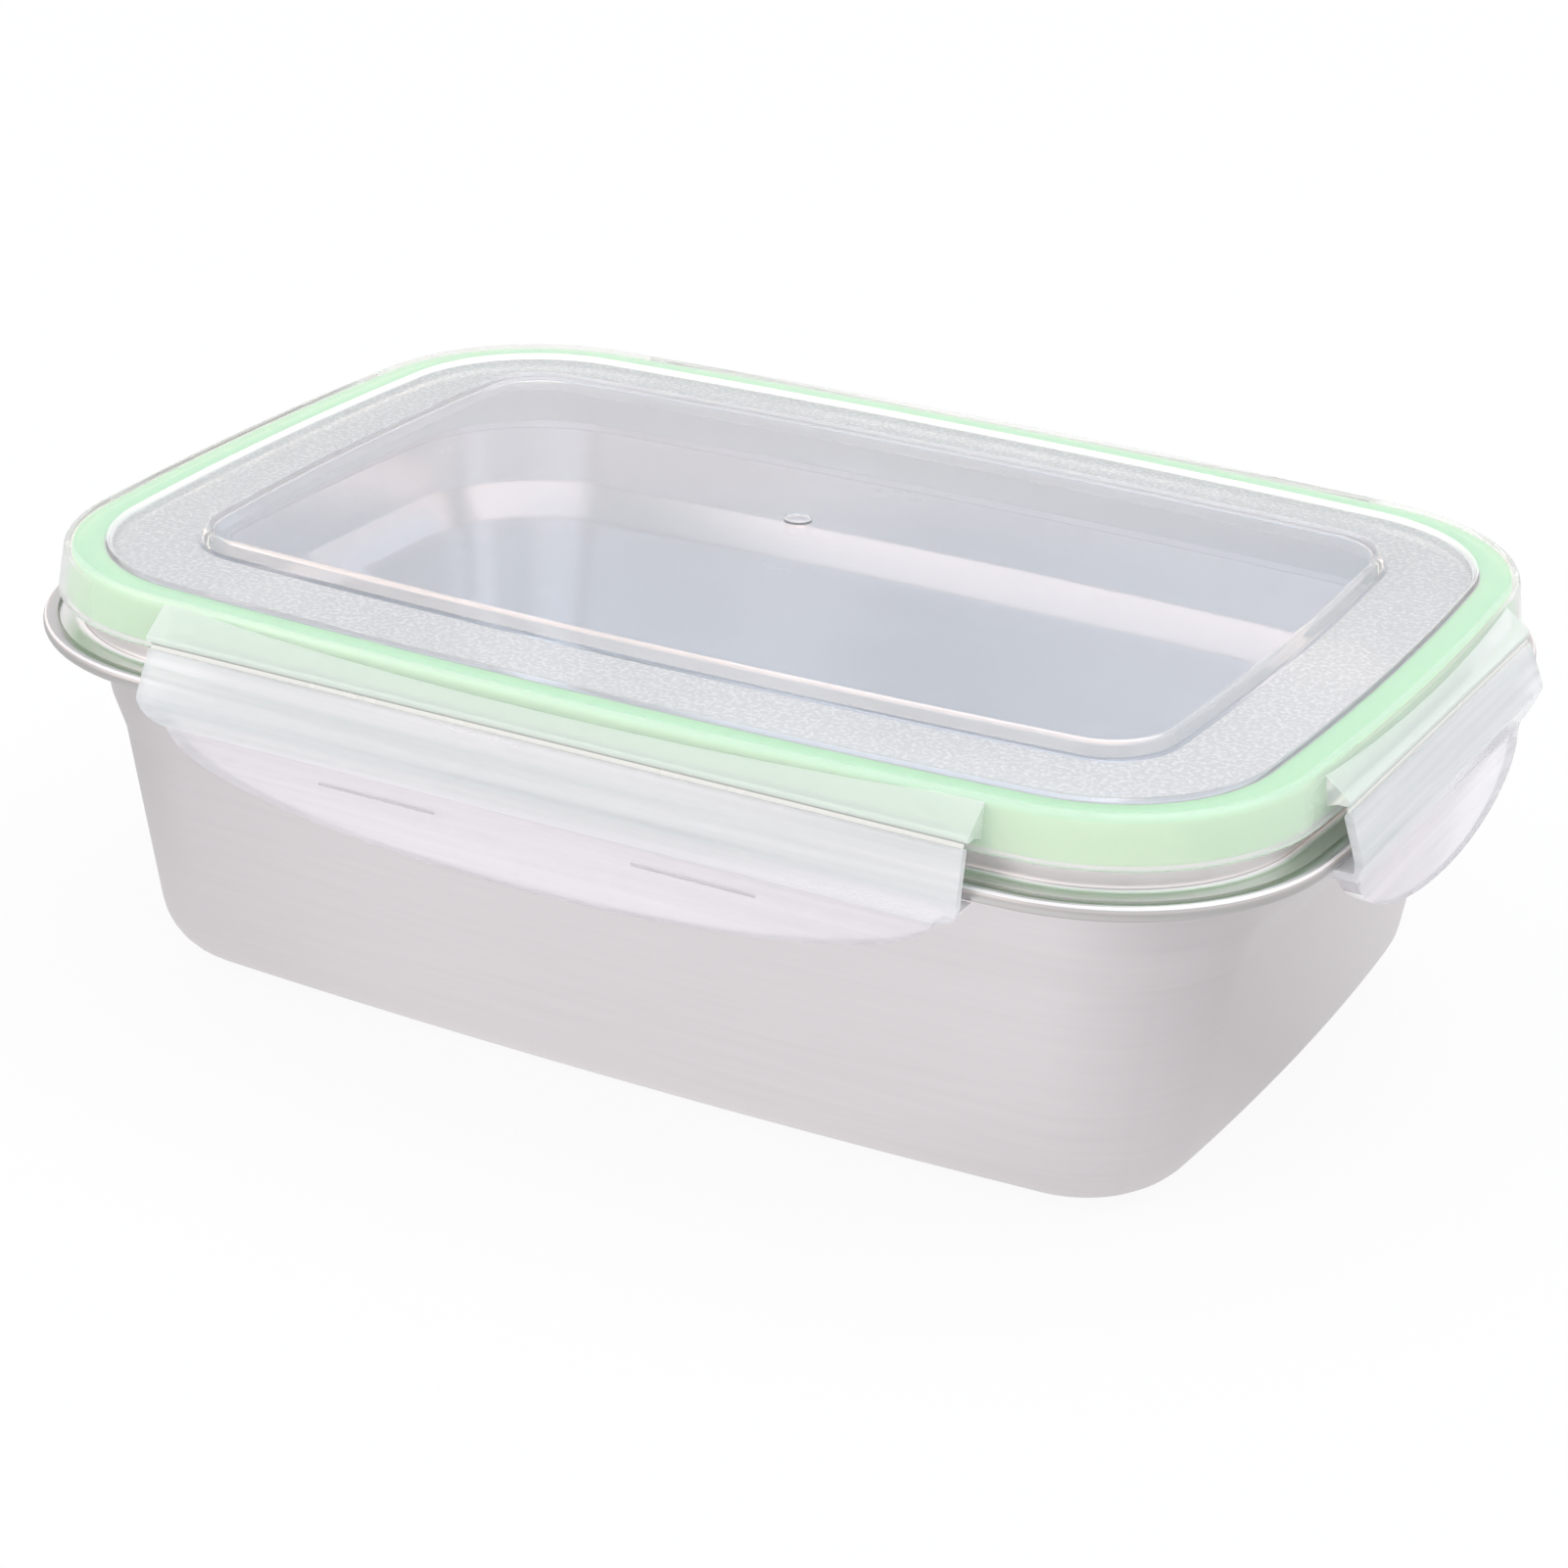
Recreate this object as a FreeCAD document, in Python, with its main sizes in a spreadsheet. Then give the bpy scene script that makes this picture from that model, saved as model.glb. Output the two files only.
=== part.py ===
import FreeCAD, Part
import Sketcher
import enum
import math
import os
from types import SimpleNamespace

# A steel lunch box with a clear lid, a seal ring and four clip latches on film hinges.
# Millimetres, +Z up, +X along the long side. The origin is the middle of the base, on the table.
# Every outline is an offset of one bowed, rounded rectangle: the outer edge of the lid rim.
# An inset is measured inward from that edge and a reach is measured outward from it.

SIZES = {
    "lid_length": 232.0,
    "lid_width": 165.0,
    "corner_radius": 37.0,
    "long_side_radius": 1320.0,
    "short_side_radius": 690.0,
    "sheet": 0.6,
    "plate_lap": 1.5,
    "shelf_height": 63.4,
    "shelf_fillet": 1.5,
    "wall_lean": 10.2,
    "base_fillet": 12.2,
    "neck_drop": 2.4,
    "neck_fillet": 3.0,
    "collar_drop": 10.5,
    "collar_lean": 1.05,
    "stack_drop": 7.0,
    "stack_lean": 2.3,
    "stack_fillet": 6.0,
    "bead_inset": 3.9,
    "bead_width": 3.2,
    "bead_rise": 9.2,
    "bead_fillet": 1.8,
    "lip_reach": 2.8,
    "lip_width": 2.8,
    "lip_drop": 2.0,
    "lip_rise": 0.8,
    "lip_fillet": 1.3,
    "lip_root_fillet": 0.55,
    "fillet_share": 0.48,
    "seal_clearance": 0.3,
    "seal_web": 2.8,
    "seal_leg_gap": 0.7,
    "seat_gap": 0.1,
    "lid_wall": 1.4,
    "rim_height": 8.6,
    "rim_draft": 1.3,
    "rim_fillet": 1.8,
    "skirt_clearance": 0.5,
    "skirt_depth": 13.9,
    "skirt_draft": 0.4,
    "skirt_wall": 1.3,
    "step_offset": 0.3,
    "step_drop": 1.0,
    "step_run": 0.7,
    "panel_inset": 24.3,
    "panel_draft": 0.8,
    "panel_rise": 2.9,
    "panel_fillet": 1.2,
    "gate_diameter": 5.0,
    "gate_rise": 0.5,
    "gate_x": -3.0,
    "gate_y": 6.6,
    "hinge_reach": 1.6,
    "hinge_rise": 1.3,
    "hinge_gap": 0.3,
    "film_length": 0.8,
    "film_thickness": 0.4,
    "block_margin": 1.2,
    "block_overhang": 0.3,
    "block_edge": 0.9,
    "block_ledge": 2.0,
    "block_root_drop": 0.6,
    "block_root_sink": 1.15,
    "block_root_inset": 3.2,
    "long_end_gap": 42.2,
    "short_end_gap": 41.0,
    "latch_flare": 1.2,
    "latch_wall": 1.5,
    "shoulder_clearance": 0.9,
    "shoulder_drop": 0.4,
    "shoulder_fillet": 2.5,
    "strip_drop": 3.2,
    "strip_fillet": 4.2,
    "catch_bite": 3.6,
    "tab_root_wall": 2.1,
    "tab_lean": 4.1,
    "tab_length": 11.4,
    "tab_setback": 5.0,
    "edge_fillet": 0.5,
}


class Size:
    """A length from the sheet: its number, and the expression that keeps a feature bound to it."""

    def __init__(self, value, text):
        self.value = value
        self.text = text

    def __add__(self, other):
        other = as_size(other)
        return Size(self.value + other.value, f"({self.text} + {other.text})")

    def __sub__(self, other):
        other = as_size(other)
        return Size(self.value - other.value, f"({self.text} - {other.text})")

    def __mul__(self, factor):
        factor = as_size(factor)
        return Size(self.value * factor.value, f"({self.text} * {factor.text})")

    def __truediv__(self, divisor):
        divisor = as_size(divisor)
        return Size(self.value / divisor.value, f"({self.text} / {divisor.text})")

    def __neg__(self):
        return Size(-self.value, f"(-1 * {self.text})")


def as_size(number):
    if isinstance(number, Size):
        return number
    return Size(float(number), repr(float(number)))


def smaller(first, second):
    return Size(min(first.value, second.value), f"min({first.text}; {second.text})")


doc = FreeCAD.newDocument("lunch_box")
sheet = doc.addObject("Spreadsheet::Sheet", "dims")
for row, (alias, number) in enumerate(SIZES.items(), start=1):
    sheet.set(f"A{row}", alias)
    sheet.set(f"B{row}", str(number))
    sheet.setAlias(f"B{row}", alias)
doc.recompute()
dim = SimpleNamespace(**{alias: Size(sheet.get(alias), f"dims.{alias}") for alias in SIZES})


# Heights, insets, reaches and lengths that several pieces share
long_side = dim.lid_width / 2
short_side = dim.lid_length / 2
neck_inset = dim.bead_inset + dim.bead_width
base_inset = neck_inset + dim.wall_lean
base_bend = smaller(dim.base_fillet, dim.corner_radius - base_inset - dim.plate_lap * 2)
base_join = base_inset + base_bend + dim.plate_lap
bead_top = dim.shelf_height + dim.bead_rise
lip_bottom = dim.shelf_height - dim.lip_drop
web_bottom = bead_top + dim.seal_clearance
ceiling = web_bottom + dim.seal_web
rim_top = ceiling + dim.lid_wall
rim_bottom = rim_top - dim.rim_height
rim_slope = dim.rim_draft / dim.rim_height
skirt_inset = neck_inset + dim.sheet + dim.skirt_clearance
band_top = rim_top - dim.step_drop
panel_top = band_top + dim.panel_rise
panel_edge = dim.panel_inset + dim.panel_draft
panel_join = panel_edge + dim.panel_fillet + dim.plate_lap
hinge_height = rim_bottom + dim.hinge_rise
half_wall = dim.latch_wall / 2
film_bottom = hinge_height + half_wall + dim.hinge_gap
film_top = film_bottom + dim.film_length
latch_long = dim.lid_length - dim.long_end_gap * 2
latch_short = dim.lid_width - dim.short_end_gap * 2


def rim_inset(height):
    """Inset of the rim's outer face at a height."""
    return rim_slope * (height - rim_bottom)


def new_body(name):
    body = doc.addObject("PartDesign::Body", name)
    body.Label = name
    return body


def new_sketch(body, name, plane, lift=None):
    sketch = body.newObject("Sketcher::SketchObject", name)
    support = next(item for item in body.Origin.OriginFeatures if item.Role == plane)
    sketch.AttachmentSupport = (support, [""])
    sketch.MapMode = "FlatFace"
    if lift is not None:
        sketch.setExpression("AttachmentOffset.Base.z", lift.text)
    return sketch


def bind(sketch, kind, *parts):
    """Adds a dimension whose last part is a Size, bound to the sheet."""
    size = parts[-1]
    index = sketch.addConstraint(Sketcher.Constraint(kind, *parts[:-1], size.value))
    sketch.setExpression(f"Constraints[{index}]", size.text)


def tie(sketch, kind, *parts):
    sketch.addConstraint(Sketcher.Constraint(kind, *parts))


Axis = enum.IntEnum("Axis", ["Y", "X"], start=-2)
Spot = enum.IntEnum("Spot", ["START", "END", "CENTRE"])


def place(sketch, item, point, x, y):
    """Fixes a point of the sketch at x, y from its origin."""
    if x.value == 0:
        tie(sketch, "PointOnObject", item, point, Axis.Y)
    else:
        bind(sketch, "DistanceX", item, point, x)
    if y.value == 0:
        tie(sketch, "PointOnObject", item, point, Axis.X)
    else:
        bind(sketch, "DistanceY", item, point, y)


def rounded(before, corner, after, radius):
    """Centre, start and end of the arc that rounds a corner, and whether it turns to the left."""
    into = (corner - before).normalize()
    out = (after - corner).normalize()
    left = into.cross(out).z > 0
    turn = into.getAngle(out)
    run = radius * math.tan(turn / 2)
    side = FreeCAD.Vector(-into.y, into.x, 0) * (radius if left else -radius)
    entry = corner - into * run
    return entry + side, entry, corner + out * run, left


def add_arch(sketch, left, right, depth):
    """Half an ellipse that hangs between two corners, centred on the sketch's upright axis."""
    centre = FreeCAD.Vector(0, left[1].value, 0)
    ellipse = Part.Ellipse(centre, right[0].value, depth.value)
    arc = sketch.addGeometry(Part.ArcOfEllipse(ellipse, math.pi, 2 * math.pi))
    sketch.exposeInternalGeometry(arc)
    minor_axis = arc + 2
    bind(sketch, "DistanceY", arc, Spot.CENTRE, left[1])
    bind(sketch, "Distance", minor_axis, depth * 2)
    return arc


def add_polygon(sketch, corners, arch_depth=None):
    """Closed outline through corners (x, y) or (x, y, radius), each a Size.

    With an arch depth, the first side sags below its two corners as half an ellipse.
    """
    corners = [tuple(as_size(part) for part in corner) for corner in corners]
    points = [FreeCAD.Vector(corner[0].value, corner[1].value, 0) for corner in corners]
    count = len(corners)
    bends = {}
    for number, corner in enumerate(corners):
        if len(corner) == 3:
            before, after = points[number - 1], points[(number + 1) % count]
            bends[number] = rounded(before, points[number], after, corner[2].value)
    lines = []
    for number in range(count):
        following = (number + 1) % count
        start = bends[number][2] if number in bends else points[number]
        end = bends[following][1] if following in bends else points[following]
        if number == 0 and arch_depth is not None:
            lines.append(add_arch(sketch, corners[0], corners[1], arch_depth))
        else:
            lines.append(sketch.addGeometry(Part.LineSegment(start, end)))
    for number, corner in enumerate(corners):
        line_in, line_out = lines[number - 1], lines[number]
        if number not in bends:
            tie(sketch, "Coincident", line_in, Spot.END, line_out, Spot.START)
            place(sketch, line_out, Spot.START, corner[0], corner[1])
            continue
        centre, entry, leave, left = bends[number]
        first, last = (entry, leave) if left else (leave, entry)
        circle = Part.Circle(centre, FreeCAD.Vector(0, 0, 1), corner[2].value)
        angles = [math.atan2(end.y - centre.y, end.x - centre.x) for end in (first, last)]
        arc = sketch.addGeometry(Part.ArcOfCircle(circle, *angles))
        apex = sketch.addGeometry(Part.Point(points[number]), True)
        place(sketch, apex, Spot.START, corner[0], corner[1])
        tie(sketch, "PointOnObject", apex, Spot.START, line_in)
        tie(sketch, "PointOnObject", apex, Spot.START, line_out)
        tie(sketch, "Tangent", line_in, Spot.END, arc, Spot.START if left else Spot.END)
        tie(sketch, "Tangent", arc, Spot.END if left else Spot.START, line_out, Spot.START)
        bind(sketch, "Radius", arc, corner[2])


def add_circle(sketch, x, y, radius):
    centre = FreeCAD.Vector(x.value, y.value, 0)
    circle = sketch.addGeometry(Part.Circle(centre, FreeCAD.Vector(0, 0, 1), radius.value))
    place(sketch, circle, Spot.CENTRE, x, y)
    bind(sketch, "Radius", circle, radius)


def corner_centre():
    """Centre of the arc at the +X, +Y corner, tangent to the bowed long and short sides."""
    long_radius = dim.long_side_radius.value
    short_radius = dim.short_side_radius.value
    long_centre = FreeCAD.Vector(0, long_side.value - long_radius, 0)
    short_centre = FreeCAD.Vector(short_side.value - short_radius, 0, 0)
    long_gap = long_radius - dim.corner_radius.value
    short_gap = short_radius - dim.corner_radius.value
    between = short_centre - long_centre
    span = between.Length
    along = (long_gap ** 2 - short_gap ** 2 + span ** 2) / (2 * span)
    across = math.sqrt(long_gap ** 2 - along ** 2)
    ahead = between.normalize()
    return long_centre + ahead * along + FreeCAD.Vector(ahead.y, -ahead.x, 0) * across


def add_ring(sketch, inset):
    """The lid edge moved inward by an inset: nine tangent arcs that start where the ring crosses +X."""
    inset = as_size(inset)
    long_radius = dim.long_side_radius - inset
    short_radius = dim.short_side_radius - inset
    turn_radius = dim.corner_radius - inset
    long_offset = long_side - dim.long_side_radius
    short_offset = short_side - dim.short_side_radius
    zero = as_size(0)
    corner = corner_centre()
    short_angle = math.atan2(corner.y, corner.x - short_offset.value)
    long_angle = math.atan2(corner.y - long_offset.value, corner.x)
    quarter = math.pi / 2
    sides = {
        "right": (short_offset, zero, short_radius),
        "back": (zero, long_offset, long_radius),
        "left": (-short_offset, zero, short_radius),
        "front": (zero, -long_offset, long_radius),
    }
    swings = [
        ("right", 0, short_angle),
        (1, 1, short_angle, long_angle),
        ("back", long_angle, math.pi - long_angle),
        (-1, 1, math.pi - long_angle, math.pi - short_angle),
        ("left", math.pi - short_angle, math.pi + short_angle),
        (-1, -1, math.pi + short_angle, math.pi + long_angle),
        ("front", math.pi + long_angle, 4 * quarter - long_angle),
        (1, -1, 4 * quarter - long_angle, 4 * quarter - short_angle),
        ("right", 4 * quarter - short_angle, 4 * quarter),
    ]
    arcs = []
    for swing in swings:
        if len(swing) == 3:
            x, y, radius = sides[swing[0]]
            centre = FreeCAD.Vector(x.value, y.value, 0)
        else:
            centre = FreeCAD.Vector(swing[0] * corner.x, swing[1] * corner.y, 0)
            radius = turn_radius
        circle = Part.Circle(centre, FreeCAD.Vector(0, 0, 1), radius.value)
        arc = sketch.addGeometry(Part.ArcOfCircle(circle, swing[-2], swing[-1]))
        if len(swing) == 3:
            place(sketch, arc, Spot.CENTRE, x, y)
        bind(sketch, "Radius", arc, radius)
        arcs.append(arc)
    for before, after in zip(arcs, arcs[1:]):
        tie(sketch, "Tangent", before, Spot.END, after, Spot.START)
    tie(sketch, "PointOnObject", arcs[0], Spot.START, Axis.X)
    tie(sketch, "PointOnObject", arcs[-1], Spot.END, Axis.X)


def sweep(body, name, kind, section):
    """Sweeps a section, given as (inset, height, radius) corners, once around the lid edge."""
    path = new_sketch(body, f"{name}_path", "XY_Plane")
    add_ring(path, 0)
    profile = new_sketch(body, f"{name}_section", "XZ_Plane")
    add_polygon(profile, [(short_side - corner[0], *corner[1:]) for corner in section])
    pipe = body.newObject(kind, name)
    pipe.Profile = profile
    pipe.Spine = (path, [f"Edge{number + 1}" for number in range(path.GeometryCount)])
    pipe.Mode = "Frenet"
    return pipe


def pad(body, name, sketch, length, both_ways=False):
    feature = body.newObject("PartDesign::Pad", name)
    feature.Profile = sketch
    feature.setExpression("Length", length.text)
    if both_ways:
        feature.SideType = "Symmetric"
    return feature


def plate(body, name, inset, lift, thickness):
    """Flat plate inside a ring of the lid edge's family."""
    sketch = new_sketch(body, f"{name}_outline", "XY_Plane", lift)
    add_ring(sketch, inset)
    return pad(body, name, sketch, thickness)


def make_container():
    """Drawn tub: flat base, drafted wall with a stacking step, neck, sealing bead, shelf and rolled lip."""
    body = new_body("container")
    neck_height = dim.shelf_height - dim.neck_drop
    inner_neck = neck_inset + dim.sheet
    collar_height = neck_height - dim.collar_drop
    collar_inset = neck_inset + dim.collar_lean
    stack_height = collar_height - dim.stack_drop
    stack_inset = collar_inset + dim.stack_lean
    inner_bead = dim.bead_inset + dim.sheet
    bead_bend = smaller(dim.bead_fillet, (dim.bead_width + dim.sheet) * dim.fillet_share)
    lip_inset = dim.lip_width - dim.lip_reach
    lip_top = dim.shelf_height + dim.lip_rise
    lip_bend = smaller(dim.lip_fillet, smaller(dim.lip_width, lip_top - lip_bottom) * dim.fillet_share)
    section = [
        (base_join, as_size(0)),
        (base_inset, as_size(0), base_bend),
        (stack_inset, stack_height, dim.stack_fillet),
        (collar_inset, collar_height, dim.stack_fillet),
        (neck_inset, neck_height, dim.neck_fillet),
        (neck_inset, bead_top - dim.sheet, bead_bend - dim.sheet),
        (inner_bead, bead_top - dim.sheet, bead_bend - dim.sheet),
        (inner_bead, dim.shelf_height - dim.sheet, dim.shelf_fillet + dim.sheet),
        (lip_inset, dim.shelf_height - dim.sheet),
        (lip_inset, lip_bottom, lip_bend),
        (-dim.lip_reach, lip_bottom, lip_bend),
        (-dim.lip_reach, lip_top, lip_bend),
        (lip_inset, lip_top, dim.lip_root_fillet),
        (lip_inset, dim.shelf_height),
        (dim.bead_inset, dim.shelf_height, dim.shelf_fillet),
        (dim.bead_inset, bead_top, bead_bend),
        (inner_neck, bead_top, bead_bend),
        (inner_neck, neck_height, dim.neck_fillet + dim.sheet),
        (collar_inset + dim.sheet, collar_height, dim.stack_fillet),
        (stack_inset + dim.sheet, stack_height, dim.stack_fillet),
        (base_inset + dim.sheet, dim.sheet, base_bend - dim.sheet),
        (base_join, dim.sheet),
    ]
    sweep(body, "container_wall", "PartDesign::AdditivePipe", section)
    plate(body, "container_base", base_join - dim.plate_lap, as_size(0), dim.sheet)
    return body


def make_lid():
    """Clear moulding: drafted rim, frosted band, raised panel, plug skirt and four hinge blocks."""
    body = new_body("lid")
    panel_under = panel_top - dim.lid_wall
    band_under = band_top - dim.lid_wall
    skirt_foot = skirt_inset + dim.skirt_draft
    skirt_bottom = rim_top - dim.skirt_depth
    step_inset = skirt_inset + dim.step_offset
    section = [
        (as_size(0), rim_bottom),
        (dim.rim_draft, rim_top, dim.rim_fillet),
        (step_inset, rim_top, dim.edge_fillet),
        (step_inset + dim.step_run, band_top, dim.edge_fillet),
        (dim.panel_inset, band_top, dim.edge_fillet),
        (panel_edge, panel_top, dim.panel_fillet),
        (panel_join, panel_top),
        (panel_join, panel_under),
        (panel_edge + dim.lid_wall, panel_under),
        (dim.panel_inset + dim.lid_wall, band_under),
        (skirt_inset + dim.skirt_wall, band_under, dim.edge_fillet),
        (skirt_foot + dim.skirt_wall, skirt_bottom),
        (skirt_foot - dim.skirt_wall, skirt_bottom),
        (dim.lid_wall * 2, rim_bottom),
    ]
    sweep(body, "lid_shell", "PartDesign::AdditivePipe", section)
    plate(body, "lid_panel", panel_join - dim.plate_lap, panel_under, dim.lid_wall)
    add_blocks(body, "long_blocks", "YZ_Plane", long_side, latch_long)
    add_blocks(body, "short_blocks", "XZ_Plane", short_side, latch_short)
    below = skirt_bottom - dim.lid_wall
    groove = [
        (dim.lid_wall, below),
        (dim.lid_wall, rim_bottom),
        (rim_inset(ceiling) + dim.lid_wall, ceiling),
        (skirt_inset, ceiling),
        (skirt_foot, skirt_bottom),
        (skirt_foot, below),
    ]
    sweep(body, "seal_groove", "PartDesign::SubtractivePipe", groove)
    gate = new_sketch(body, "gate_outline", "XY_Plane", panel_under)
    add_circle(gate, dim.gate_x, dim.gate_y, dim.gate_diameter / 2)
    pad(body, "gate_mark", gate, dim.lid_wall + dim.gate_rise)
    return body


def add_blocks(body, name, plane, side, latch_length):
    """Thickened pads on two opposite sides of the rim, each ending just above its film hinge."""
    edge = side + dim.hinge_reach + dim.block_overhang
    root = side - dim.block_root_inset
    sketch = new_sketch(body, f"{name}_section", plane)
    for way in (1, -1):
        add_polygon(sketch, [
            (root * way, rim_top - dim.block_root_drop),
            (edge * way, film_top + dim.block_edge, dim.edge_fillet),
            (edge * way, film_top),
            ((edge - dim.block_ledge) * way, film_top),
            (root * way, film_top - dim.block_root_sink),
        ])
    pad(body, name, sketch, latch_length + dim.block_margin * 2, both_ways=True)


def make_gasket():
    """Silicone ring in the lid groove: a web over the sealing bead and a leg down its outside."""
    body = new_body("gasket")
    leg_inset = dim.bead_inset - dim.seal_clearance
    leg_bottom = rim_bottom + dim.seal_leg_gap
    outer = dim.lid_wall + dim.seat_gap
    section = [
        (rim_inset(ceiling) + outer, ceiling),
        (skirt_inset - dim.seat_gap, ceiling),
        (skirt_inset - dim.seat_gap, web_bottom, dim.edge_fillet),
        (leg_inset, web_bottom, dim.edge_fillet),
        (leg_inset, leg_bottom, dim.edge_fillet),
        (rim_inset(leg_bottom) + outer, leg_bottom),
    ]
    sweep(body, "gasket_ring", "PartDesign::AdditivePipe", section)
    return body


def make_latch(name, side, length, turn):
    """Clip latch, drawn for the -Y side: rounded hinge edge, bulged strip, catch and arched pull tab."""
    body = new_body(name)
    body.Placement = FreeCAD.Placement(FreeCAD.Vector(), FreeCAD.Rotation(FreeCAD.Vector(0, 0, 1), turn))
    catch_reach = dim.lip_reach - dim.catch_bite
    catch_top = lip_bottom - dim.seal_clearance
    inner_shoulder = dim.lip_reach + dim.shoulder_clearance
    shoulder_reach = inner_shoulder + dim.latch_wall
    shoulder_height = dim.shelf_height - dim.shoulder_drop
    strip_bottom = lip_bottom - dim.strip_drop
    tab_root = catch_reach + dim.tab_root_wall
    tab_tip = tab_root + dim.tab_lean
    tab_bottom = strip_bottom - dim.tab_length
    section = [
        (dim.hinge_reach + half_wall, hinge_height),
        (shoulder_reach, shoulder_height, dim.shoulder_fillet),
        (inner_shoulder, strip_bottom, dim.latch_wall),
        (tab_root, strip_bottom - half_wall, dim.edge_fillet),
        (tab_tip, tab_bottom),
        (tab_tip - dim.latch_wall, tab_bottom),
        (catch_reach, strip_bottom),
        (catch_reach, catch_top, dim.edge_fillet),
        (inner_shoulder, catch_top, dim.edge_fillet),
        (inner_shoulder, shoulder_height, dim.shoulder_fillet),
        (dim.hinge_reach - half_wall, hinge_height),
    ]
    profile = new_sketch(body, f"{name}_section", "YZ_Plane")
    add_polygon(profile, [(-(side + corner[0]), *corner[1:]) for corner in section])
    pad(body, f"{name}_strip", profile, length + dim.latch_flare * 2, both_ways=True)
    edge = new_sketch(body, f"{name}_edge_outline", "YZ_Plane")
    add_circle(edge, -(side + dim.hinge_reach), hinge_height, half_wall)
    pad(body, f"{name}_edge", edge, length, both_ways=True)
    half = length / 2
    wide = half + dim.latch_flare
    tab_half = wide - dim.tab_setback
    outside = wide + dim.tab_setback
    below = tab_bottom - dim.tab_setback
    above = hinge_height + dim.latch_wall
    trim = new_sketch(body, f"{name}_trim", "XZ_Plane")
    add_polygon(trim, [
        (-tab_half, strip_bottom),
        (tab_half, strip_bottom),
        (wide, strip_bottom, dim.strip_fillet),
        (half, above),
        (outside, above),
        (outside, below),
        (-outside, below),
        (-outside, above),
        (-half, above),
        (-wide, strip_bottom, dim.strip_fillet),
    ], dim.tab_length)
    cut = body.newObject("PartDesign::Pocket", f"{name}_arch")
    cut.Profile = trim
    cut.Type = "ThroughAll"
    cut.SideType = "Symmetric"
    return body


def make_film(name, side, length, turn):
    """Thin film between a hinge block and the rounded edge of its latch, drawn for the -Y side."""
    body = new_body(name)
    body.Placement = FreeCAD.Placement(FreeCAD.Vector(), FreeCAD.Rotation(FreeCAD.Vector(0, 0, 1), turn))
    near = side + dim.hinge_reach - dim.film_thickness / 2
    far = near + dim.film_thickness
    section = new_sketch(body, f"{name}_section", "YZ_Plane")
    add_polygon(section, [
        (-far, film_bottom),
        (-near, film_bottom),
        (-near, film_top),
        (-far, film_top),
    ])
    pad(body, f"{name}_strip", section, length, both_ways=True)
    return body


SIDES = [
    ("front", long_side, latch_long, 0),
    ("right", short_side, latch_short, 90),
    ("back", long_side, latch_long, 180),
    ("left", short_side, latch_short, 270),
]

nodes = [make_container(), make_lid(), make_gasket()]
for place_name, side, length, turn in SIDES:
    nodes.append(make_latch(f"latch_{place_name}", side, length, turn))
    nodes.append(make_film(f"living_hinge_{place_name}", side, length, turn))
doc.recompute()

failed = [item.Name for item in doc.Objects if "Invalid" in item.State or "Error" in item.State]
if failed:
    raise RuntimeError(f"failed features: {failed}")
for node in nodes:
    if node.Shape.isNull() or not node.Shape.isValid():
        raise RuntimeError(f"bad shape: {node.Label}")
    print(f"{node.Label}: {len(node.Shape.Solids)} solid, {node.Shape.Volume:.1f} mm3")
os.makedirs("parts", exist_ok=True)
for node in nodes:
    node.Shape.exportStep(f"parts/{node.Label}.step")
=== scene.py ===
# %% [markdown]
# # A steel lunch box with a clear lid
# The box is a drawn steel tub. A clear moulded lid presses a pale green silicone ring onto it.
# Four milky latches, moulded with the lid, hook under the rolled lip of the tub.
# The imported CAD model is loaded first. It is the frame that every piece below has to fit.
# Sizes of pieces are given in millimetres. The camera, the floor and the lamps are placed in metres.

# %% Load the frame
import math

import bpy
from mathutils import Matrix, Vector


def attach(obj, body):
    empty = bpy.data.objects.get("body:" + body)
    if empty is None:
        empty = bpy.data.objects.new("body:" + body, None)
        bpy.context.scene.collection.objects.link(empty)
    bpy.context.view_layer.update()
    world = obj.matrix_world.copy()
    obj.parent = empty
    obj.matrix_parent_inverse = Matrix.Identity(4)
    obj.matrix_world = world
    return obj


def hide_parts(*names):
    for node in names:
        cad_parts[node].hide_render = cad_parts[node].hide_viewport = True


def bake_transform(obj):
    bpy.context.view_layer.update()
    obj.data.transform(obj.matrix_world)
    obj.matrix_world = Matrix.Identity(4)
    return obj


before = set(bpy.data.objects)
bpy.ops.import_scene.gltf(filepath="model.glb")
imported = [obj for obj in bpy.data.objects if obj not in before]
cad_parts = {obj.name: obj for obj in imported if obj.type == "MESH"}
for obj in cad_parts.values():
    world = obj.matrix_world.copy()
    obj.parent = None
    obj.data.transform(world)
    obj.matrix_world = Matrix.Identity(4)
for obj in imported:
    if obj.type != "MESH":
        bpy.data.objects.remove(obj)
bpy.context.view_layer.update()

MM = 0.001
bpy.ops.object.select_all(action="DESELECT")

# %% [markdown]
# ## The camera
# The camera was matched to the photograph: a long lens, a little above the box and to its right.
# A new camera looks straight down. So it is tipped up until it looks down on the box by its elevation,
# and then it is swung round by its azimuth.
# A small roll about the line of sight comes first, because the photograph is not quite level.

# %% Camera
AZIMUTH = math.radians(27.63)
ELEVATION = math.radians(23.72)
ROLL = math.radians(1.84)
DISTANCE = 0.70549
TARGET = Vector((0.00192, -0.00485, 0.03458))
LENS, SENSOR = 92.8, 36.0
NEAREST = 0.01

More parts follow.
